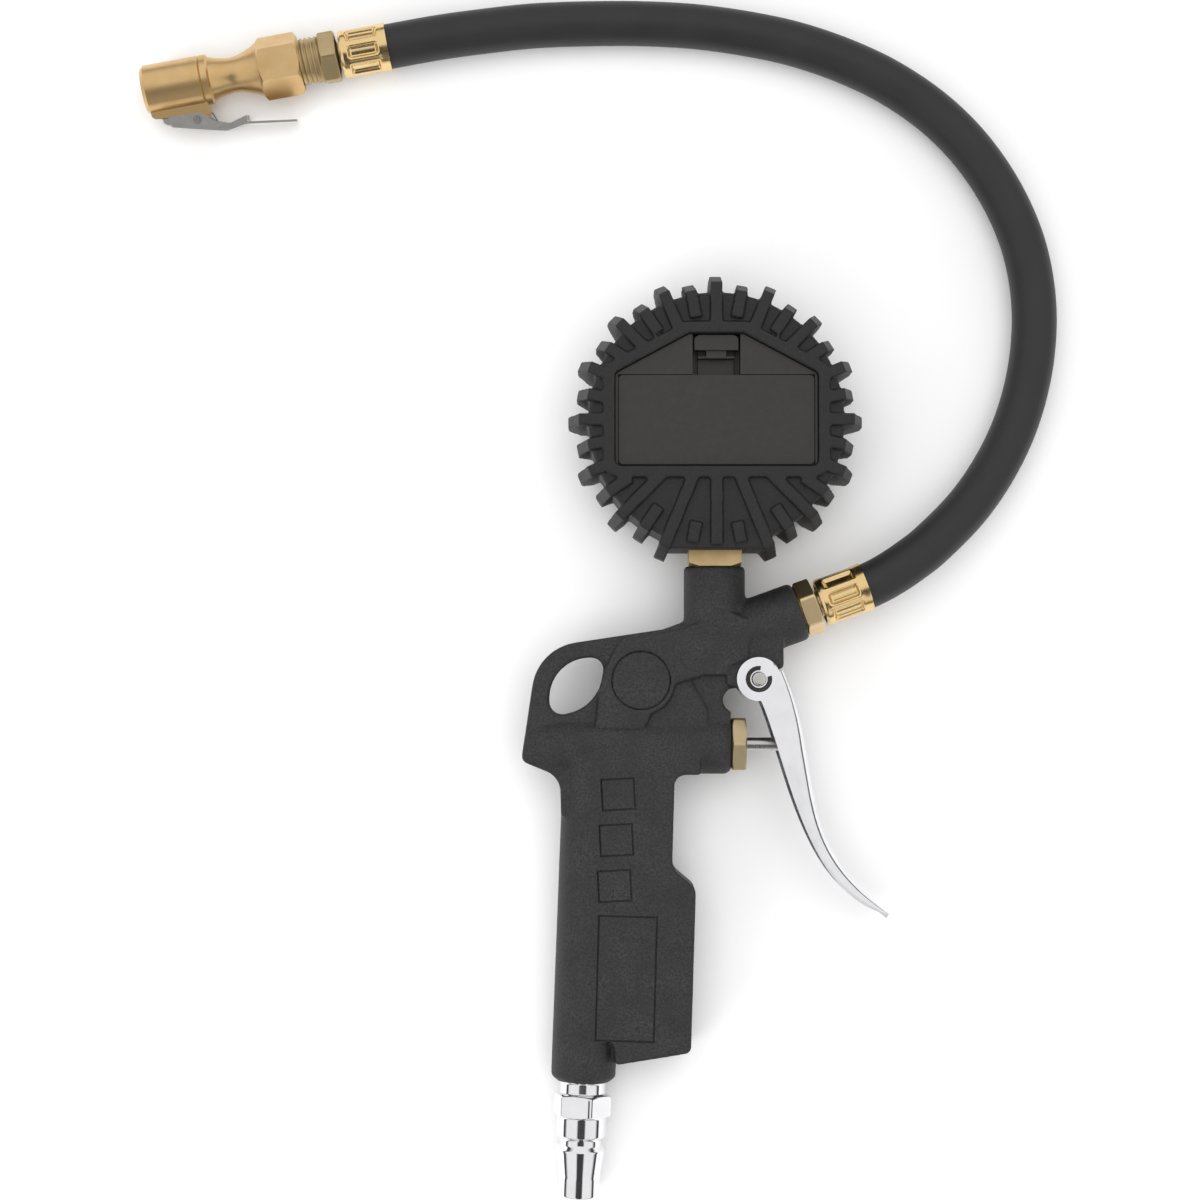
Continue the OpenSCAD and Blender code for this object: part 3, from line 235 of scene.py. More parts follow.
# Black EPDM rubber, extruded: matt with a faint satin, drawn lines along it and a light bloom.
hose_rubber, tree, shader = new_finish("extruded_epdm_rubber", {"Specular IOR Level": 0.45})
place = add_node(tree, "ShaderNodeTexCoord")
drawn = add_node(tree, "ShaderNodeMapping", {"Vector": place.outputs["UV"], "Scale": (1, 0.02, 1)})
lines = add_node(tree, "ShaderNodeTexNoise",
                 {"Vector": drawn.outputs["Vector"], "Scale": 1600, "Detail": 3})
bloom = add_node(tree, "ShaderNodeTexNoise",
                 {"Vector": place.outputs["Object"], "Scale": 90, "Detail": 4})
speck = add_node(tree, "ShaderNodeTexNoise",
                 {"Vector": place.outputs["Object"], "Scale": 2600, "Detail": 1})
tone = add_node(tree, "ShaderNodeMixRGB", {
    "Fac": bloom.outputs["Fac"], "Color1": linear("#1b1b1c"), "Color2": linear("#272728")})
rough = add_node(tree, "ShaderNodeMapRange", {
    "Value": bloom.outputs["Fac"], "To Min": 0.44, "To Max": 0.58})
relief = add_node(tree, "ShaderNodeMath", {0: lines.outputs["Fac"], 1: speck.outputs["Fac"]})
bump = add_node(tree, "ShaderNodeBump", {
    "Height": relief.outputs["Value"], "Strength": 0.35, "Distance": 0.00003})
tree.links.new(tone.outputs["Color"], shader.inputs["Base Color"])
tree.links.new(rough.outputs["Result"], shader.inputs["Roughness"])
tree.links.new(bump.outputs["Normal"], shader.inputs["Normal"])

hose = new_piece("hose_cover", hose_mesh, hose_rubber)
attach(hose, "gun")
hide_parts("hose")


# ---------------------------------------------------------------- Gun casting
# The gun's body is one zinc die casting with cored air passages. Its ribs, barrel and grip run
# into each other in soft cast blends, and all of it is powder coated in fine-textured black.

gun_tilt = math.radians(2.809)
gun_place = Matrix.Translation((0.003, 0.0863, 0.017696)) @ Matrix.Rotation(gun_tilt, 4, "X")
grip_face = 0.0083
engraved_depth = 0.0006
engraved = [(-0.0267 - 0.0005 * i, -0.1019 - 0.0125 * i, 3.0, 0.0094, 0.0089) for i in range(3)]
engraved.append((-0.0245, -0.1522, -1.6, 0.0164, 0.0344))


def merged_copy(node, name):
    """A copy of a CAD solid with its loose triangles merged into one closed skin."""
    skin = bmesh.new()
    skin.from_mesh(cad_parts[node].data)
    bmesh.ops.remove_doubles(skin, verts=skin.verts, dist=2e-6)
    mesh = bpy.data.meshes.new(name)
    skin.to_mesh(mesh)
    skin.free()
    return new_piece(name, mesh)


def made_solid(piece):
    """The piece with its modifiers made part of its mesh."""
    ready = piece.evaluated_get(bpy.context.evaluated_depsgraph_get())
    piece.data = bpy.data.meshes.new_from_object(ready)
    piece.modifiers.clear()
    return piece


def box_mesh(skin, place, size):
    """A box of that size in metres, added to the skin at its place."""
    bmesh.ops.create_cube(skin, size=1, matrix=place @ Matrix.Diagonal((*size, 1)))


def cast_soft(node, name, voxel, passes, limit, plugs=()):
    """A copy of a CAD solid with its edges and corners rounded as a mould leaves them."""
    piece = merged_copy(node, name)
    skin = bmesh.new()
    skin.from_mesh(piece.data)
    for place, size in plugs:
        box_mesh(skin, place, size)
    skin.to_mesh(piece.data)
    skin.free()
    remesh = piece.modifiers.new("skin", "REMESH")
    remesh.mode = "VOXEL"
    remesh.voxel_size = voxel
    smooth = piece.modifiers.new("soft", "SMOOTH")
    smooth.factor = 0.5
    smooth.iterations = passes
    made_solid(piece)
    faces = 2 * len(piece.data.polygons)
    if faces > limit:
        fewer = piece.modifiers.new("fewer", "DECIMATE")
        fewer.ratio = limit / faces
        made_solid(piece)
    piece.data.shade_smooth()
    return piece


filled = [(gun_place @ Matrix.Translation((x, y, grip_face - engraved_depth))
           @ Matrix.Rotation(math.radians(turn), 4, "Z"), (w + 0.0006, h + 0.0006, 0.0012))
          for x, y, turn, w, h in engraved]
casting = cast_soft("gun_body", "gun_casting", 0.00048, 9, 165000, filled)

cutter_skin = bmesh.new()
line = 0.00052
for x, y, turn, w, h in engraved:
    at = gun_place @ Matrix.Translation((x, y, grip_face)) @ Matrix.Rotation(math.radians(turn), 4, "Z")
    outer = [(-w / 2, -h / 2), (w / 2, -h / 2), (w / 2, h / 2), (-w / 2, h / 2)]
    inner = [(px - math.copysign(line, px), py - math.copysign(line, py)) for px, py in outer]
    rings = [[cutter_skin.verts.new(at @ Vector((px, py, z))) for px, py in loop]
             for loop, z in ((outer, engraved_depth), (inner, engraved_depth),
                             (inner, -engraved_depth), (outer, -engraved_depth))]
    for r in range(4):
        for k in range(4):
            n = (k + 1) % 4
            cutter_skin.faces.new((rings[r][k], rings[r][n], rings[(r + 1) % 4][n], rings[(r + 1) % 4][k]))
bmesh.ops.recalc_face_normals(cutter_skin, faces=cutter_skin.faces)
cutter_mesh = bpy.data.meshes.new("graver")
cutter_skin.to_mesh(cutter_mesh)
cutter_skin.free()
cutter = new_piece("graver", cutter_mesh)
cut = casting.modifiers.new("engraved", "BOOLEAN")
cut.operation = "DIFFERENCE"
cut.solver = "MANIFOLD"
cut.object = cutter
made_solid(casting)
bpy.data.objects.remove(cutter)
casting.data.shade_smooth()
casting.data.set_sharp_from_angle(angle=math.radians(50))


def moulded_finish(name, dark, pale, rough, grain, depth, level=0.5, sheen=0.0):
    """Coating, rubber or plastic: two near tones, a grain of that size in mm and its relief in mm. The pale
    tone is a painted highlight on the grain tops, in broad patches, beside the real relief of the bump.
    """
    finish, tree, shader = new_finish(name, {"Specular IOR Level": level, "Sheen Weight": sheen})
    place = add_node(tree, "ShaderNodeTexCoord").outputs["Object"]
    fine = add_node(tree, "ShaderNodeTexNoise", {
        "Vector": place, "Scale": 1000 / grain, "Detail": 2, "Roughness": 0.6})
    broad = add_node(tree, "ShaderNodeTexNoise", {
        "Vector": place, "Scale": 1000 / (14 * grain), "Detail": 3})
    # Painted highlight: the tops of the grain, where the bump stands highest, are painted in the pale tone.
    painted_grain_highlight = add_node(tree, "ShaderNodeMapRange", {
        "Value": fine.outputs["Fac"], "From Min": 0.35, "From Max": 0.72})
    patchy_grain_highlight = add_node(tree, "ShaderNodeMath", {
        0: painted_grain_highlight.outputs["Result"], 1: broad.outputs["Fac"]}, operation="MULTIPLY")
    # Dark tone with the painted grain highlight in the pale tone, in broad patches.
    tone = add_node(tree, "ShaderNodeMixRGB", {
        "Fac": patchy_grain_highlight.outputs["Value"], "Color1": linear(dark), "Color2": linear(pale)})
    uneven = add_node(tree, "ShaderNodeMapRange", {
        "Value": broad.outputs["Fac"], "To Min": rough - 0.06, "To Max": rough + 0.06})
    bump = add_node(tree, "ShaderNodeBump", {
        "Height": fine.outputs["Fac"], "Strength": 1.0, "Distance": depth / 1000})
    tree.links.new(tone.outputs["Color"], shader.inputs["Base Color"])
    tree.links.new(uneven.outputs["Result"], shader.inputs["Roughness"])
    tree.links.new(bump.outputs["Normal"], shader.inputs["Normal"])
    return finish


# Polyester powder coat with a fine texture: matt, its grains about half a millimetre across. Their relief
# catches a little light, and their tops are painted paler as a painted highlight.
powder_coat = moulded_finish("textured_powder_coat", "#1b1b1b", "#404040", 0.62, 0.55, 0.09)
casting.data.materials.clear()
casting.data.materials.append(powder_coat)
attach(casting, "gun")
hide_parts("gun_body")


def show(node, finish):
    """A CAD solid whose shape is right, given its finish."""
    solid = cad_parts[node]
    solid.data.materials.clear()
    solid.data.materials.append(finish)
    return solid


show("boss_cap", powder_coat)


# ---------------------------------------------------------------- Valve
# Turned pieces screwed and dropped into the casting's cross bore: a brass seat and poppet, a
# coil spring, a rubber ring under the gland nut, and the steel push pin that stands out of it.

def metal_finish(name, light, dark, rough, spread, grain, depth, along=None, blotch=5.0):
    """Metal: two near tones in blotches, roughness from rough up by spread, and lines or grains.
    The lines run round a turned piece where along gives its axis. Sizes are in mm."""
    finish, tree, shader = new_finish(name, {"Metallic": 1.0})
    place = add_node(tree, "ShaderNodeTexCoord").outputs["Object"]
    if along is None:
        tool = add_node(tree, "ShaderNodeTexNoise", {
            "Vector": place, "Scale": 1000 / grain, "Detail": 2})
    else:
        reach = add_node(tree, "ShaderNodeVectorMath", {0: place, 1: along}, operation="DOT_PRODUCT")
        tool = add_node(tree, "ShaderNodeTexNoise", {
            "W": reach.outputs["Value"], "Scale": 1000 / grain, "Detail": 2}, noise_dimensions="1D")
    cloud = add_node(tree, "ShaderNodeTexNoise", {"Vector": place, "Scale": 1000 / blotch, "Detail": 4})
    tone = add_node(tree, "ShaderNodeMixRGB", {
        "Fac": cloud.outputs["Fac"], "Color1": linear(light), "Color2": linear(dark)})
    both = add_node(tree, "ShaderNodeMath", {
        0: tool.outputs["Fac"], 1: cloud.outputs["Fac"]}, operation="MULTIPLY")
    worn = add_node(tree, "ShaderNodeMapRange", {
        "Value": both.outputs["Value"], "From Max": 0.5, "To Min": rough, "To Max": rough + spread})
    bump = add_node(tree, "ShaderNodeBump", {
        "Height": tool.outputs["Fac"], "Strength": 0.5, "Distance": depth / 1000})
    tree.links.new(tone.outputs["Color"], shader.inputs["Base Color"])
    tree.links.new(worn.outputs["Result"], shader.inputs["Roughness"])
    tree.links.new(bump.outputs["Normal"], shader.inputs["Normal"])
    return finish


def turned(name, start, end, radius_at, bore, place, finish, body, node, soft=0.14, turn=0.0,
           sides=120):
    """A turned and milled piece about local Z, in mm: radius_at(angle, height) gives its skin,
    whose edges are then rounded over about the soft size. It stands for a CAD node."""
    step = 0.12
    heights = np.linspace(start, end, int((end - start) / step) + 1)
    angles = turn + 360 / sides * np.arange(sides)
    skin = radius_at(angles[None, :] + 0 * heights[:, None], heights[:, None] + 0 * angles[None, :])
    reach = int(3 * soft / step) + 1
    weights = np.exp(-0.5 * (np.arange(-reach, reach + 1) * step / soft) ** 2)
    weights /= weights.sum()
    padded = np.pad(skin, ((reach, reach), (0, 0)), mode="edge")
    skin = sum(w * padded[i:i + len(heights)] for i, w in enumerate(weights))
    skin = 0.25 * np.roll(skin, 1, 1) + 0.5 * skin + 0.25 * np.roll(skin, -1, 1)
    rings = [(skin[i], h) for i, h in enumerate(heights)]
    rings += [(np.full(sides, bore), end), (np.full(sides, bore), start)]
    verts, faces = [], []
    for radii, h in rings:
        for r, a in zip(radii, np.radians(angles)):
            verts.append(place @ (Vector((r * math.cos(a), r * math.sin(a), h)) / 1000))
    for i in range(len(rings)):
        here, there = i * sides, (i + 1) % len(rings) * sides
        faces += [(here + k, here + (k + 1) % sides, there + (k + 1) % sides, there + k)
                  for k in range(sides)]
    mesh = bpy.data.meshes.new(name)
    mesh.from_pydata(verts, [], faces)
    mesh.shade_smooth()
    mesh.set_sharp_from_angle(angle=math.radians(60))
    piece = new_piece(name, mesh, finish)
    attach(piece, body)
    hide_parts(node)
    return piece


def hexagon_at(angle, across_flats, corner=0.0):
    """The radius of a hexagon with a corner at the given angle."""
    return across_flats / 2 / np.cos(np.radians((angle - corner) % 60 - 30))


def nut_at(angle, height, across_flats, start, end, corner=0.0, chamfer=0.5):
    """The radius of a hexagon nut whose corners are turned off at both ends."""
    inside = np.clip(np.minimum(height - start, end - height) / chamfer, 0, 1)
    cone = across_flats / 2 * (1 + (1 / math.cos(math.radians(30)) - 1) * inside)
    return np.minimum(hexagon_at(angle, across_flats, corner), cone)


valve_axis = (1, 0, 0)
valve_frame = gun_place @ Matrix.Translation((0.0046, -0.0884, 0)) @ Matrix.Rotation(math.pi / 2, 4, "Y")


def even_shading(piece):
    """Smooth shading in which each flat face stays flat right up to its rounded edges."""
    piece.data.shade_smooth()
    piece.data.set_sharp_from_angle(angle=math.radians(50))
    even = piece.modifiers.new("even", "WEIGHTED_NORMAL")
    even.keep_sharp = True
    return made_solid(piece)


def softened(node, name, finish, body="gun", width=0.2, angle=28):
    """A copy of a CAD solid with a narrow bevel on its edges, as tumbling or plating leaves them."""
    piece = merged_copy(node, name)
    skin = bmesh.new()
    skin.from_mesh(piece.data)
    bmesh.ops.dissolve_limit(skin, angle_limit=math.radians(1.5), verts=skin.verts, edges=skin.edges)
    skin.to_mesh(piece.data)
    skin.free()
    bevel = piece.modifiers.new("edges", "BEVEL")
    bevel.width = width / 1000
    bevel.segments = 2
    bevel.limit_method = "ANGLE"
    bevel.angle_limit = math.radians(angle)
    even_shading(made_solid(piece))
    piece.data.materials.clear()
    piece.data.materials.append(finish)
    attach(piece, body)
    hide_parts(node)
    return piece


# Free-machining brass, as turned: warm, with fine tool lines and a little tarnish.
dull_brass = metal_finish("tarnished_brass", "#b39a62", "#8f7b4a", 0.30, 0.22, 0.12, 0.006, valve_axis)
# Tumbled brass nut: pale and sandy, quite matt.
sanded_brass = metal_finish("sand_tumbled_brass", "#dccba7", "#c5b188", 0.42, 0.15, 0.35, 0.020)
# Ground steel: bright grey, with fine lines round it.
ground_steel = metal_finish("ground_steel", "#d8d6d3", "#bdbab6", 0.20, 0.15, 0.10, 0.004, valve_axis)
# Nitrile rubber, moulded: dense black with a soft shine.
nitrile = moulded_finish("nitrile_rubber", "#141414", "#222222", 0.45, 0.3, 0.01)
# Music wire: drawn smooth, lightly oiled.
music_wire = metal_finish("music_wire", "#a8a8a8", "#868686", 0.25, 0.15, 0.15, 0.004)

turned("gland", -8, 4, lambda a, h: np.where(h < 0, 6.0, nut_at(a, h, 14.2, 0, 4)), 1.9, valve_frame,
       sanded_brass, "gun", "gland_nut")
show("push_pin", ground_steel)
show("gland_seal", nitrile)
show("valve_seat", dull_brass)
show("valve_poppet", dull_brass)


def coil_spring(name, place, radius, wire, length, turns, finish, node):
    """A coil spring about local Z, wound by Geometry Nodes along a spiral. Sizes are in mm."""
    tree = bpy.data.node_groups.new(name, "GeometryNodeTree")
    tree.interface.new_socket("Geometry", in_out="OUTPUT", socket_type="NodeSocketGeometry")
    sockets = [tree.interface.new_socket(label, in_out="INPUT", socket_type="NodeSocketFloat")
               for label in ("Radius", "Wire", "Length", "Turns")]
    sizes = tree.nodes.new("NodeGroupInput").outputs
    spiral = add_node(tree, "GeometryNodeCurveSpiral", {
        "Resolution": 24, "Rotations": sizes["Turns"], "Start Radius": sizes["Radius"],
        "End Radius": sizes["Radius"], "Height": sizes["Length"]})
    wire_round = add_node(tree, "GeometryNodeCurvePrimitiveCircle", {
        "Resolution": 10, "Radius": sizes["Wire"]})
    drawn = add_node(tree, "GeometryNodeCurveToMesh", {
        "Curve": spiral.outputs["Curve"], "Profile Curve": wire_round.outputs["Curve"], "Fill Caps": True})
    real = add_node(tree, "GeometryNodeRealizeInstances", {"Geometry": drawn.outputs["Mesh"]})
    faced = add_node(tree, "GeometryNodeSetMaterial", {
        "Geometry": real.outputs["Geometry"], "Material": finish})
    tree.links.new(faced.outputs["Geometry"], tree.nodes.new("NodeGroupOutput").inputs["Geometry"])
    spring = new_piece(name, bpy.data.meshes.new(name), finish)
    wound = spring.modifiers.new("wound", "NODES")
    wound.node_group = tree
    for socket, value in zip(sockets, (radius / 1000, wire / 2000, (length - wire) / 1000, float(turns))):
        wound[socket.identifier] = value
    made_solid(spring)
    spring.data.transform(place @ Matrix.Translation((0, 0, wire / 2000)))
    spring.data.shade_smooth()
    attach(spring, "gun")
    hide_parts(node)
    return spring


coil_place = valve_frame @ Matrix.Translation((0, 0, -0.041))
coil_length = 20.7
valve_coil = coil_spring("valve_coil", coil_place, 2.6, 0.9, coil_length, 7, music_wire, "valve_spring")
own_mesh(valve_coil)


# ---------------------------------------------------------------- Trigger lever
# A channel pressed from steel sheet and chrome plated, hung on a headed pin through the lug.
# A dark spring clip in the pin's groove keeps it there.

# Bright chrome on pressed steel: a near mirror, with the slight waves of the pressing.
chrome_sheet = metal_finish("chromed_pressed_steel", "#f1f1f3", "#e4e4e7", 0.07, 0.10, 3.5, 0.02)
# Blackened spring steel: dull dark grey.
black_steel = metal_finish("blackened_spring_steel", "#55524f", "#3c3a38", 0.38, 0.15, 0.3, 0.006)

lever_front = [Vector(p) for p in ((18.6, -67.8), (31.0, -94.7), (19.9, -113.4), (47.3, -134.4))]
lever_rear = [Vector(p) for p in ((12.3, -76.0), (19.8, -93.0), (24.5, -130.4), (47.3, -134.6))]
lever_half = 8.98
lever_bend = 4.0
lever_skim = 0.06
former_depth = 26


def bezier(p, t):
    """A point of a cubic curve."""
    return ((1 - t) ** 3 * p[0] + 3 * (1 - t) ** 2 * t * p[1]
            + 3 * (1 - t) * t * t * p[2] + t ** 3 * p[3])


# The channel's front is bent over a round former, so its two front corners are rounded down
# to that shape: the solid is kept only where it lies inside the bent sheet's outer skin.
former_skin = bmesh.new()
former_rings = []
for t in [-0.14, -0.07] + [k / 64 for k in range(65)] + [1.03]:
    if 0 <= t <= 1:
        ahead = bezier(lever_front, min(1, t + 0.01)) - bezier(lever_front, max(0, t - 0.01))
        front_at = bezier(lever_front, t)
    else:
        end = 0 if t < 0 else 1
        ahead = (bezier(lever_front, end + 0.01 - 0.02 * end) - bezier(lever_front, end)) * (1 - 2 * end)
        front_at = bezier(lever_front, end) + ahead.normalized() * (t - end) * 100
    ahead.normalize()
    inward = Vector((ahead.y, -ahead.x))
    within = min(max(t, 0), 1)
    room = (bezier(lever_front, within) - bezier(lever_rear, within)).length
    bend = min(lever_bend * min(1, 0.55 + 1.5 * within), 0.45 * room + 0.4)
    outline = [(former_depth, -lever_half)]
    outline += [(bend - bend * math.sin(a) + lever_skim, -lever_half + bend - bend * math.cos(a))
                for a in np.radians(np.linspace(0, 90, 12))]
    outline += [(u, -z) for u, z in reversed(outline)]
    former_rings.append([former_skin.verts.new(gun_place @ (Vector(
        (front_at.x + inward.x * u, front_at.y + inward.y * u, z)) / 1000)) for u, z in outline])
for ring, after in zip(former_rings, former_rings[1:]):
    for k in range(len(ring)):
        n = (k + 1) % len(ring)
        former_skin.faces.new((ring[k], ring[n], after[n], after[k]))
former_skin.faces.new(former_rings[0])
former_skin.faces.new(former_rings[-1][::-1])
bmesh.ops.recalc_face_normals(former_skin, faces=former_skin.faces)
former_mesh = bpy.data.meshes.new("bending_former")
former_skin.to_mesh(former_mesh)
former_skin.free()
former = new_piece("bending_former", former_mesh)

lever = merged_copy("trigger_lever", "lever")
bent = lever.modifiers.new("bent", "BOOLEAN")
bent.operation = "INTERSECT"
bent.solver = "MANIFOLD"
bent.object = former
made_solid(lever)
bpy.data.objects.remove(former)
skin = bmesh.new()
skin.from_mesh(lever.data)
bmesh.ops.dissolve_limit(skin, angle_limit=math.radians(1.0), verts=skin.verts, edges=skin.edges)
bmesh.ops.remove_doubles(skin, verts=skin.verts, dist=4e-6)
bmesh.ops.dissolve_degenerate(skin, edges=skin.edges, dist=4e-6)
skin.to_mesh(lever.data)
skin.free()
even_shading(lever)
lever.data.materials.clear()
lever.data.materials.append(chrome_sheet)
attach(lever, "trigger")
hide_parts("trigger_lever")
softened("pivot_pin", "lever_pin", ground_steel, width=0.25)
softened("pivot_clip", "lever_clip", black_steel, width=0.1)


# ---------------------------------------------------------------- Inlet plug
# Quick-connect plug turned from hexagon steel bar, polished and chrome plated, and screwed
# into the foot of the grip.

# Polished chrome on turned steel: a mirror with faint lines round it.
chrome_bar = metal_finish("chromed_turned_steel", "#f4f4f6", "#e6e6e9", 0.05, 0.07, 0.25, 0.004,
                          (0.04, 1, 0.05))
inlet_frame = (gun_place @ Matrix.Translation((-0.0364, -0.1813, 0))
               @ Matrix.Rotation(math.radians(-92.2), 4, "Z") @ Matrix.Rotation(math.pi / 2, 4, "Y"))
plug_flats, plug_corner = 14.4, 44
plug_hex_from, plug_hex_to = 3.2, 9.4
plug_heights = (-10, 0, 0.01, 3.19, 9.2, 14.8, 15.6, 17.2, 18.6, 20.6, 26.2, 31.2, 31.8)
plug_radii = (6.6, 6.6, 6.3, 6.3, 6.8, 6.8, 5.7, 5.7, 6.8, 6.5, 5.7, 5.7, 5.1)


def plug_at(angle, height):
    """The radius of the plug: collar, hexagon, neck with its locking groove, and nose."""
    hexagon = nut_at(angle, height, plug_flats, plug_hex_from, plug_hex_to, plug_corner, 0.6)
    return np.where((height > plug_hex_from) & (height < plug_hex_to), hexagon,
                    np.interp(height, plug_heights, plug_radii))


turned("plug", -10, 31.8, plug_at, 3.1, inlet_frame, chrome_bar, "gun", "inlet_plug",
       turn=plug_corner)


# ---------------------------------------------------------------- Gauge
# A moulded case of two halves round a battery bay, a board with its display, two buttons and
# the pressure sensor. A rubber boot with teeth is stretched over it, and a square brass
# connector joins it to the gun.

# Free-machining brass, milled square: satin with straight cutter lines.
milled_brass = metal_finish("milled_brass", "#e6cb9a", "#d0b07a", 0.32, 0.20, 0.20, 0.006, (0.3, 1, 0.1))
# Black ABS, moulded in a spark-eroded tool: brownish black with a low gloss.
case_abs = moulded_finish("eroded_black_abs", "#221f1c", "#39342f", 0.40, 0.16, 0.012)
# Moulded rubber boot: matt black with a dry, grainy skin.
boot_rubber = moulded_finish("moulded_boot_rubber", "#151515", "#262626", 0.58, 0.5, 0.05)
# Zinc-plated steel screws.
zinc_plate = metal_finish("zinc_plated_steel", "#b8babd", "#96989c", 0.25, 0.15, 0.4, 0.004)
# Nickel-plated contacts.
nickel_plate = metal_finish("nickel_plated_strip", "#c9c6c0", "#b0ada7", 0.18, 0.12, 0.5, 0.003)
# Printed shrink sleeve on the cells.
cell_sleeve = moulded_finish("cell_shrink_sleeve", "#5b626c", "#7e858e", 0.35, 0.6, 0.01)
# Green solder mask over etched copper.
solder_mask = moulded_finish("green_solder_mask", "#1c4a2e", "#2f6b45", 0.35, 0.8, 0.02)
# Unlit liquid crystal display: grey-green glass over its reflector.
display_glass = moulded_finish("unlit_display_glass", "#8f9a86", "#a3ad99", 0.25, 0.4, 0.002)
# Silicone rubber keys.
red_key = moulded_finish("red_silicone_key", "#8a2a1f", "#a5382b", 0.5, 0.35, 0.01)
grey_key = moulded_finish("grey_silicone_key", "#7d7d7d", "#939393", 0.5, 0.35, 0.01)
# Clear acrylic window, injection moulded.
clear_acrylic, tree, shader = new_finish("clear_acrylic", {
    "Transmission Weight": 1.0, "IOR": 1.49, "Roughness": 0.04})
place = add_node(tree, "ShaderNodeTexCoord").outputs["Object"]
haze = add_node(tree, "ShaderNodeTexNoise", {"Vector": place, "Scale": 300, "Detail": 3})
rough = add_node(tree, "ShaderNodeMapRange", {"Value": haze.outputs["Fac"], "To Min": 0.01, "To Max": 0.08})
tree.links.new(rough.outputs["Result"], shader.inputs["Roughness"])

softened("gauge_connector", "connector", milled_brass, width=0.12)
show("connector_seal", nitrile)
show("pressure_sensor", zinc_plate)
softened("case_back", "case_rear", case_abs, width=0.15)
softened("case_front", "case_face", case_abs, width=0.15)

# Four screws with a cross recess, set by Geometry Nodes at the bosses round the case.
screw_tree = bpy.data.node_groups.new("case_screws", "GeometryNodeTree")
screw_tree.interface.new_socket("Geometry", in_out="OUTPUT", socket_type="NodeSocketGeometry")
screw_tree.interface.new_socket("Bosses", in_out="INPUT", socket_type="NodeSocketGeometry")
screw_sizes = [screw_tree.interface.new_socket(label, in_out="INPUT", socket_type="NodeSocketFloat")
               for label in ("Head radius", "Head height", "Shank radius", "Shank length", "Recess")]
entry = screw_tree.nodes.new("NodeGroupInput").outputs
head = add_node(screw_tree, "GeometryNodeMeshCylinder", {
    "Vertices": 40, "Radius": entry["Head radius"], "Depth": entry["Head height"]})
half = add_node(screw_tree, "ShaderNodeMath", {0: entry["Head height"], 1: -0.5}, operation="MULTIPLY")
head_at = add_node(screw_tree, "ShaderNodeCombineXYZ", {"Z": half.outputs[0]})
head_up = add_node(screw_tree, "GeometryNodeTransform", {
    "Geometry": head.outputs["Mesh"], "Translation": head_at.outputs[0]})
long_side = add_node(screw_tree, "ShaderNodeMath", {0: entry["Recess"], 1: 4.0}, operation="MULTIPLY")
recess_at = add_node(screw_tree, "ShaderNodeCombineXYZ", {"Z": add_node(screw_tree, "ShaderNodeMath", {
    0: entry["Head height"], 1: -1.0}, operation="MULTIPLY").outputs[0]})
arms = []
for axis in ("X", "Y"):
    deep = add_node(screw_tree, "ShaderNodeMath", {
        0: entry["Head height"], 1: 1.0 if axis == "X" else 1.1}, operation="MULTIPLY")
    side = add_node(screw_tree, "ShaderNodeCombineXYZ", {
        "X": long_side.outputs[0] if axis == "X" else entry["Recess"],
        "Y": long_side.outputs[0] if axis == "Y" else entry["Recess"], "Z": deep.outputs[0]})
    arm = add_node(screw_tree, "GeometryNodeMeshCube", {"Size": side.outputs[0]})
    arms.append(add_node(screw_tree, "GeometryNodeTransform", {
        "Geometry": arm.outputs["Mesh"], "Translation": recess_at.outputs[0]}))
recessed = head_up.outputs["Geometry"]
for arm in arms:
    cut_cross = add_node(screw_tree, "GeometryNodeMeshBoolean", operation="DIFFERENCE")
    screw_tree.links.new(recessed, cut_cross.inputs["Mesh 1"])
    screw_tree.links.new(arm.outputs["Geometry"], cut_cross.inputs["Mesh 2"])
    recessed = cut_cross.outputs["Mesh"]
shank = add_node(screw_tree, "GeometryNodeMeshCylinder", {
    "Vertices": 20, "Radius": entry["Shank radius"], "Depth": entry["Shank length"]})
shank_half = add_node(screw_tree, "ShaderNodeMath", {0: entry["Shank length"], 1: 0.5}, operation="MULTIPLY")
shank_at = add_node(screw_tree, "ShaderNodeCombineXYZ", {"Z": shank_half.outputs[0]})
shank_up = add_node(screw_tree, "GeometryNodeTransform", {
    "Geometry": shank.outputs["Mesh"], "Translation": shank_at.outputs[0]})
screw = add_node(screw_tree, "GeometryNodeJoinGeometry")
screw_tree.links.new(recessed, screw.inputs[0])
screw_tree.links.new(shank_up.outputs["Geometry"], screw.inputs[0])
placed = add_node(screw_tree, "GeometryNodeInstanceOnPoints", {
    "Points": entry["Bosses"], "Instance": screw.outputs[0]})
all_real = add_node(screw_tree, "GeometryNodeRealizeInstances", {"Geometry": placed.outputs["Instances"]})
plated = add_node(screw_tree, "GeometryNodeSetMaterial", {
    "Geometry": all_real.outputs["Geometry"], "Material": zinc_plate})
screw_tree.links.new(plated.outputs["Geometry"], screw_tree.nodes.new("NodeGroupOutput").inputs["Geometry"])
boss_ring = 0.02718
screw_seat = -0.01290
boss_points = bpy.data.meshes.new("case_screw_set")
boss_points.from_pydata([(boss_ring * math.cos(math.radians(a)), boss_ring * math.sin(math.radians(a)), 0)
                         for a in (58, 122, 222, 318)], [], [])
screws = new_piece("case_screw_set", boss_points, zinc_plate)
driven = screws.modifiers.new("driven", "NODES")
driven.node_group = screw_tree
for socket, value in zip(screw_sizes, (0.002, 0.0012, 0.0011, 0.0170, 0.0006)):
    driven[socket.identifier] = value
made_solid(screws)
screws.data.transform(gun_place @ Matrix.Translation((0, 0, screw_seat)))
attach(screws, "gun")
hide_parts("case_screws")
softened("battery_door", "door_plate", case_abs, "door", width=0.25)
show("battery_cells", cell_sleeve)
show("battery_contacts", nickel_plate)
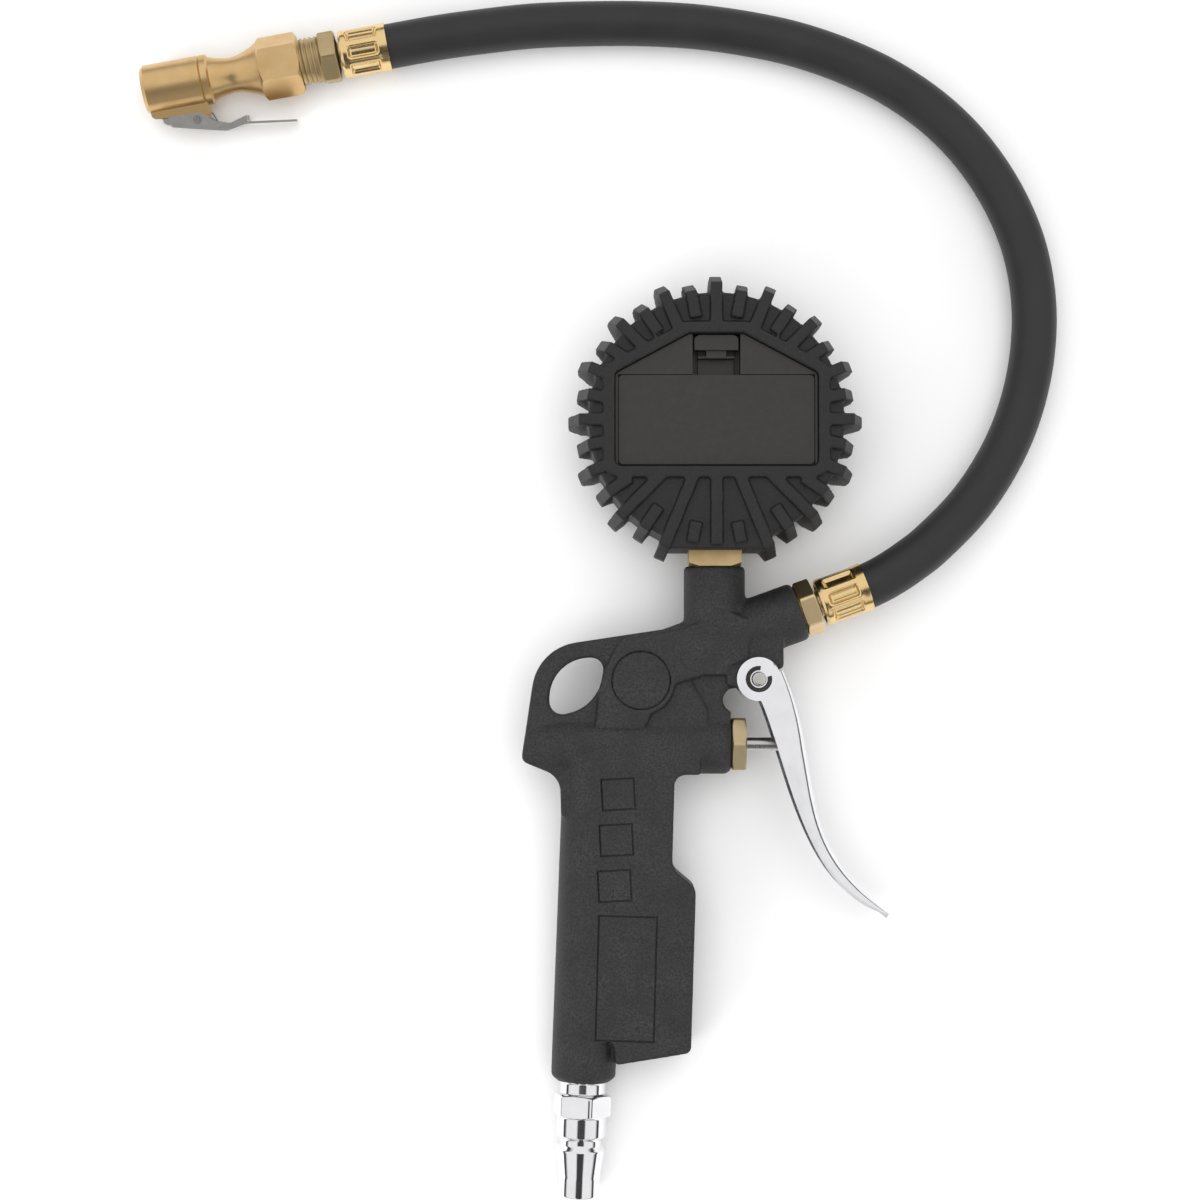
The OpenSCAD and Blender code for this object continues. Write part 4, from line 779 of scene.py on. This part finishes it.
show("circuit_board", solder_mask)
show("display_panel", display_glass)
show("display_lens", clear_acrylic)
softened("power_button", "power_key", red_key, "power_key", width=0.3)
softened("unit_button", "unit_key", grey_key, "unit_key", width=0.3)

boot = cast_soft("gauge_boot", "boot", 0.00038, 2, 190000)
boot.data.materials.clear()
boot.data.materials.append(boot_rubber)
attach(boot, "gun")
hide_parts("gauge_boot")


# ---------------------------------------------------------------- Hose ends
# A brass hexagon with a barbed tail at each end of the hose, and a ferrule of yellow-plated
# steel crimped over the rubber in eight pressed flutes.

outlet_axis = (math.cos(math.radians(20)), math.sin(math.radians(20)), 0.02)
outlet_frame = (gun_place @ Matrix.Translation((0.0238, -0.0515, 0))
                @ Matrix.Rotation(math.radians(20), 4, "Z") @ Matrix.Rotation(math.pi / 2, 4, "Y"))
chuck_axis = (math.cos(math.radians(10.5)), math.sin(math.radians(10.5)), 0)
chuck_place = (Matrix.Translation((-0.1584, 0.1836, 0.008268)) @ Matrix.Rotation(math.radians(10.5), 4, "Z")
               @ Matrix.Rotation(math.radians(15), 4, "X"))
fitting_frame = chuck_place @ Matrix.Translation((0.0511, 0, 0)) @ Matrix.Rotation(math.pi / 2, 4, "Y")
# Bright brass hexagon, turned and tumbled.
bright_brass = metal_finish("tumbled_brass", "#f0dab0", "#dcc08c", 0.28, 0.16, 0.15, 0.006, outlet_axis)
# Dull brass hexagon, sand-tarnished.
aged_brass = metal_finish("aged_brass", "#cfba92", "#ab9468", 0.30, 0.18, 0.18, 0.006, chuck_axis)
# Yellow-plated ferrule: a bright gold mirror, softened by the crimping.
gold_plate = metal_finish("yellow_plated_steel", "#f3d7a2", "#e6c486", 0.16, 0.12, 1.2, 0.008)

hose_end_flats, hex_length = 13.8, 5.0
gun_end_corner, chuck_end_corner = 38.7, -3
thread_pitch = 1.337
ferrule_length, ferrule_bore, ferrule_radius, flute_floor = 13.5, 5.60, 6.78, 5.80
ferrule_from = 0.0059


def hose_end_at(across_flats, corner, thread):
    """The skin of a hose end: its thread, its hexagon and the tail inside the hose."""
    def at(angle, height):
        turns = (height + thread) / thread_pitch - angle / 360
        ridge = 6.05 + 0.55 * (1 - np.abs(2 * (turns % 1) - 1) ** 1.4)
        hexagon = nut_at(angle, height, across_flats, 0, hex_length, corner)
        return np.where(height < 0, ridge, np.where(height < hex_length, hexagon, 3.8))
    return at


def ferrule_at(angle, height):
    """The skin of a ferrule: closed back, eight pressed flutes and a flared mouth."""
    skin = ferrule_radius + 0.11 * np.clip((height - 11.2) / 2.0, 0, 1) ** 1.5
    skin = skin - 0.4 * np.clip(1 - height / 0.9, 0, 1) ** 2
    off = (angle + 22.5) % 45 - 22.5
    beside = np.abs(off) / 180 * math.pi * 6.6
    inside = np.clip((1.85 - beside) / 0.75, 0, 1) * np.clip(
        np.minimum(height - 2.0, 11.0 - height) / 1.0, 0, 1)
    rim = np.exp(-((beside - 2.1) / 0.35) ** 2) * np.clip(
        np.minimum(height - 1.4, 11.6 - height) / 0.8, 0, 1)
    pressed = inside * inside * (3 - 2 * inside)
    return skin * (1 - pressed) + flute_floor * pressed + 0.08 * rim * (1 - pressed)


gun_end_skin = hose_end_at(hose_end_flats, gun_end_corner, 10)
chuck_end_skin = hose_end_at(hose_end_flats, chuck_end_corner, 13.8)
turned("gun_end", -10, 24, gun_end_skin, 2.5, outlet_frame, bright_brass, "gun", "hose_fitting",
       soft=0.1, turn=gun_end_corner)
on_hose = [turned("chuck_end", -13.8, 24, chuck_end_skin, 2.5, fitting_frame, aged_brass, "gun",
                  "chuck_fitting", soft=0.1, turn=chuck_end_corner)]
for name, at, node in (("gun_sleeve", outlet_frame, "gun_ferrule"),
                       ("chuck_sleeve", fitting_frame, "chuck_ferrule")):
    sleeve_at = at @ Matrix.Translation((0, 0, ferrule_from))
    on_hose.append(turned(name, 0, ferrule_length, ferrule_at, ferrule_bore, sleeve_at, gold_plate,
                          "gun", node, soft=0.2, sides=240))


# ---------------------------------------------------------------- Chuck
# Clip-on tyre chuck turned from hexagon brass, with a rubber seal and a sprung core depressor
# in its mouth. The clip is a nickel-plated pressing on a cross pin, held shut by a strip spring.

# Satin brass: turned, then tumbled until the tool lines are soft.
satin_brass = metal_finish("satin_brass", "#e3c493", "#cfa96f", 0.30, 0.16, 0.22, 0.010, chuck_axis)
# Nickel plate on a steel pressing: grey-white, semi-bright.
nickel_sheet = metal_finish("nickel_plated_pressing", "#e0dedb", "#c9c6c2", 0.24, 0.14, 0.8, 0.008)
chuck = softened("chuck_body", "chuck", satin_brass, width=0.2)
chuck_seal = show("chuck_seal", nitrile)
depressor = show("core_depressor", bright_brass)
coil_length = 11.1
coil_place = chuck_place @ Matrix.Translation((0.0157, 0, 0)) @ Matrix.Rotation(math.pi / 2, 4, "Y")
depressor_coil = coil_spring("depressor_coil", coil_place, 2.1, 0.6, coil_length, 6, music_wire,
                             "depressor_spring")
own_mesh(depressor_coil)
clip = softened("clip_lever", "clip_lever_plated", nickel_sheet, "clip", width=0.07)
clip_pin = show("clip_pin", ground_steel)
clip_spring = show("clip_spring", music_wire)

# The hose's ferrules, its far fitting and the chuck's pieces are gathered in one list.
on_hose += [chuck, chuck_seal, depressor, depressor_coil, clip, clip_pin, clip_spring]
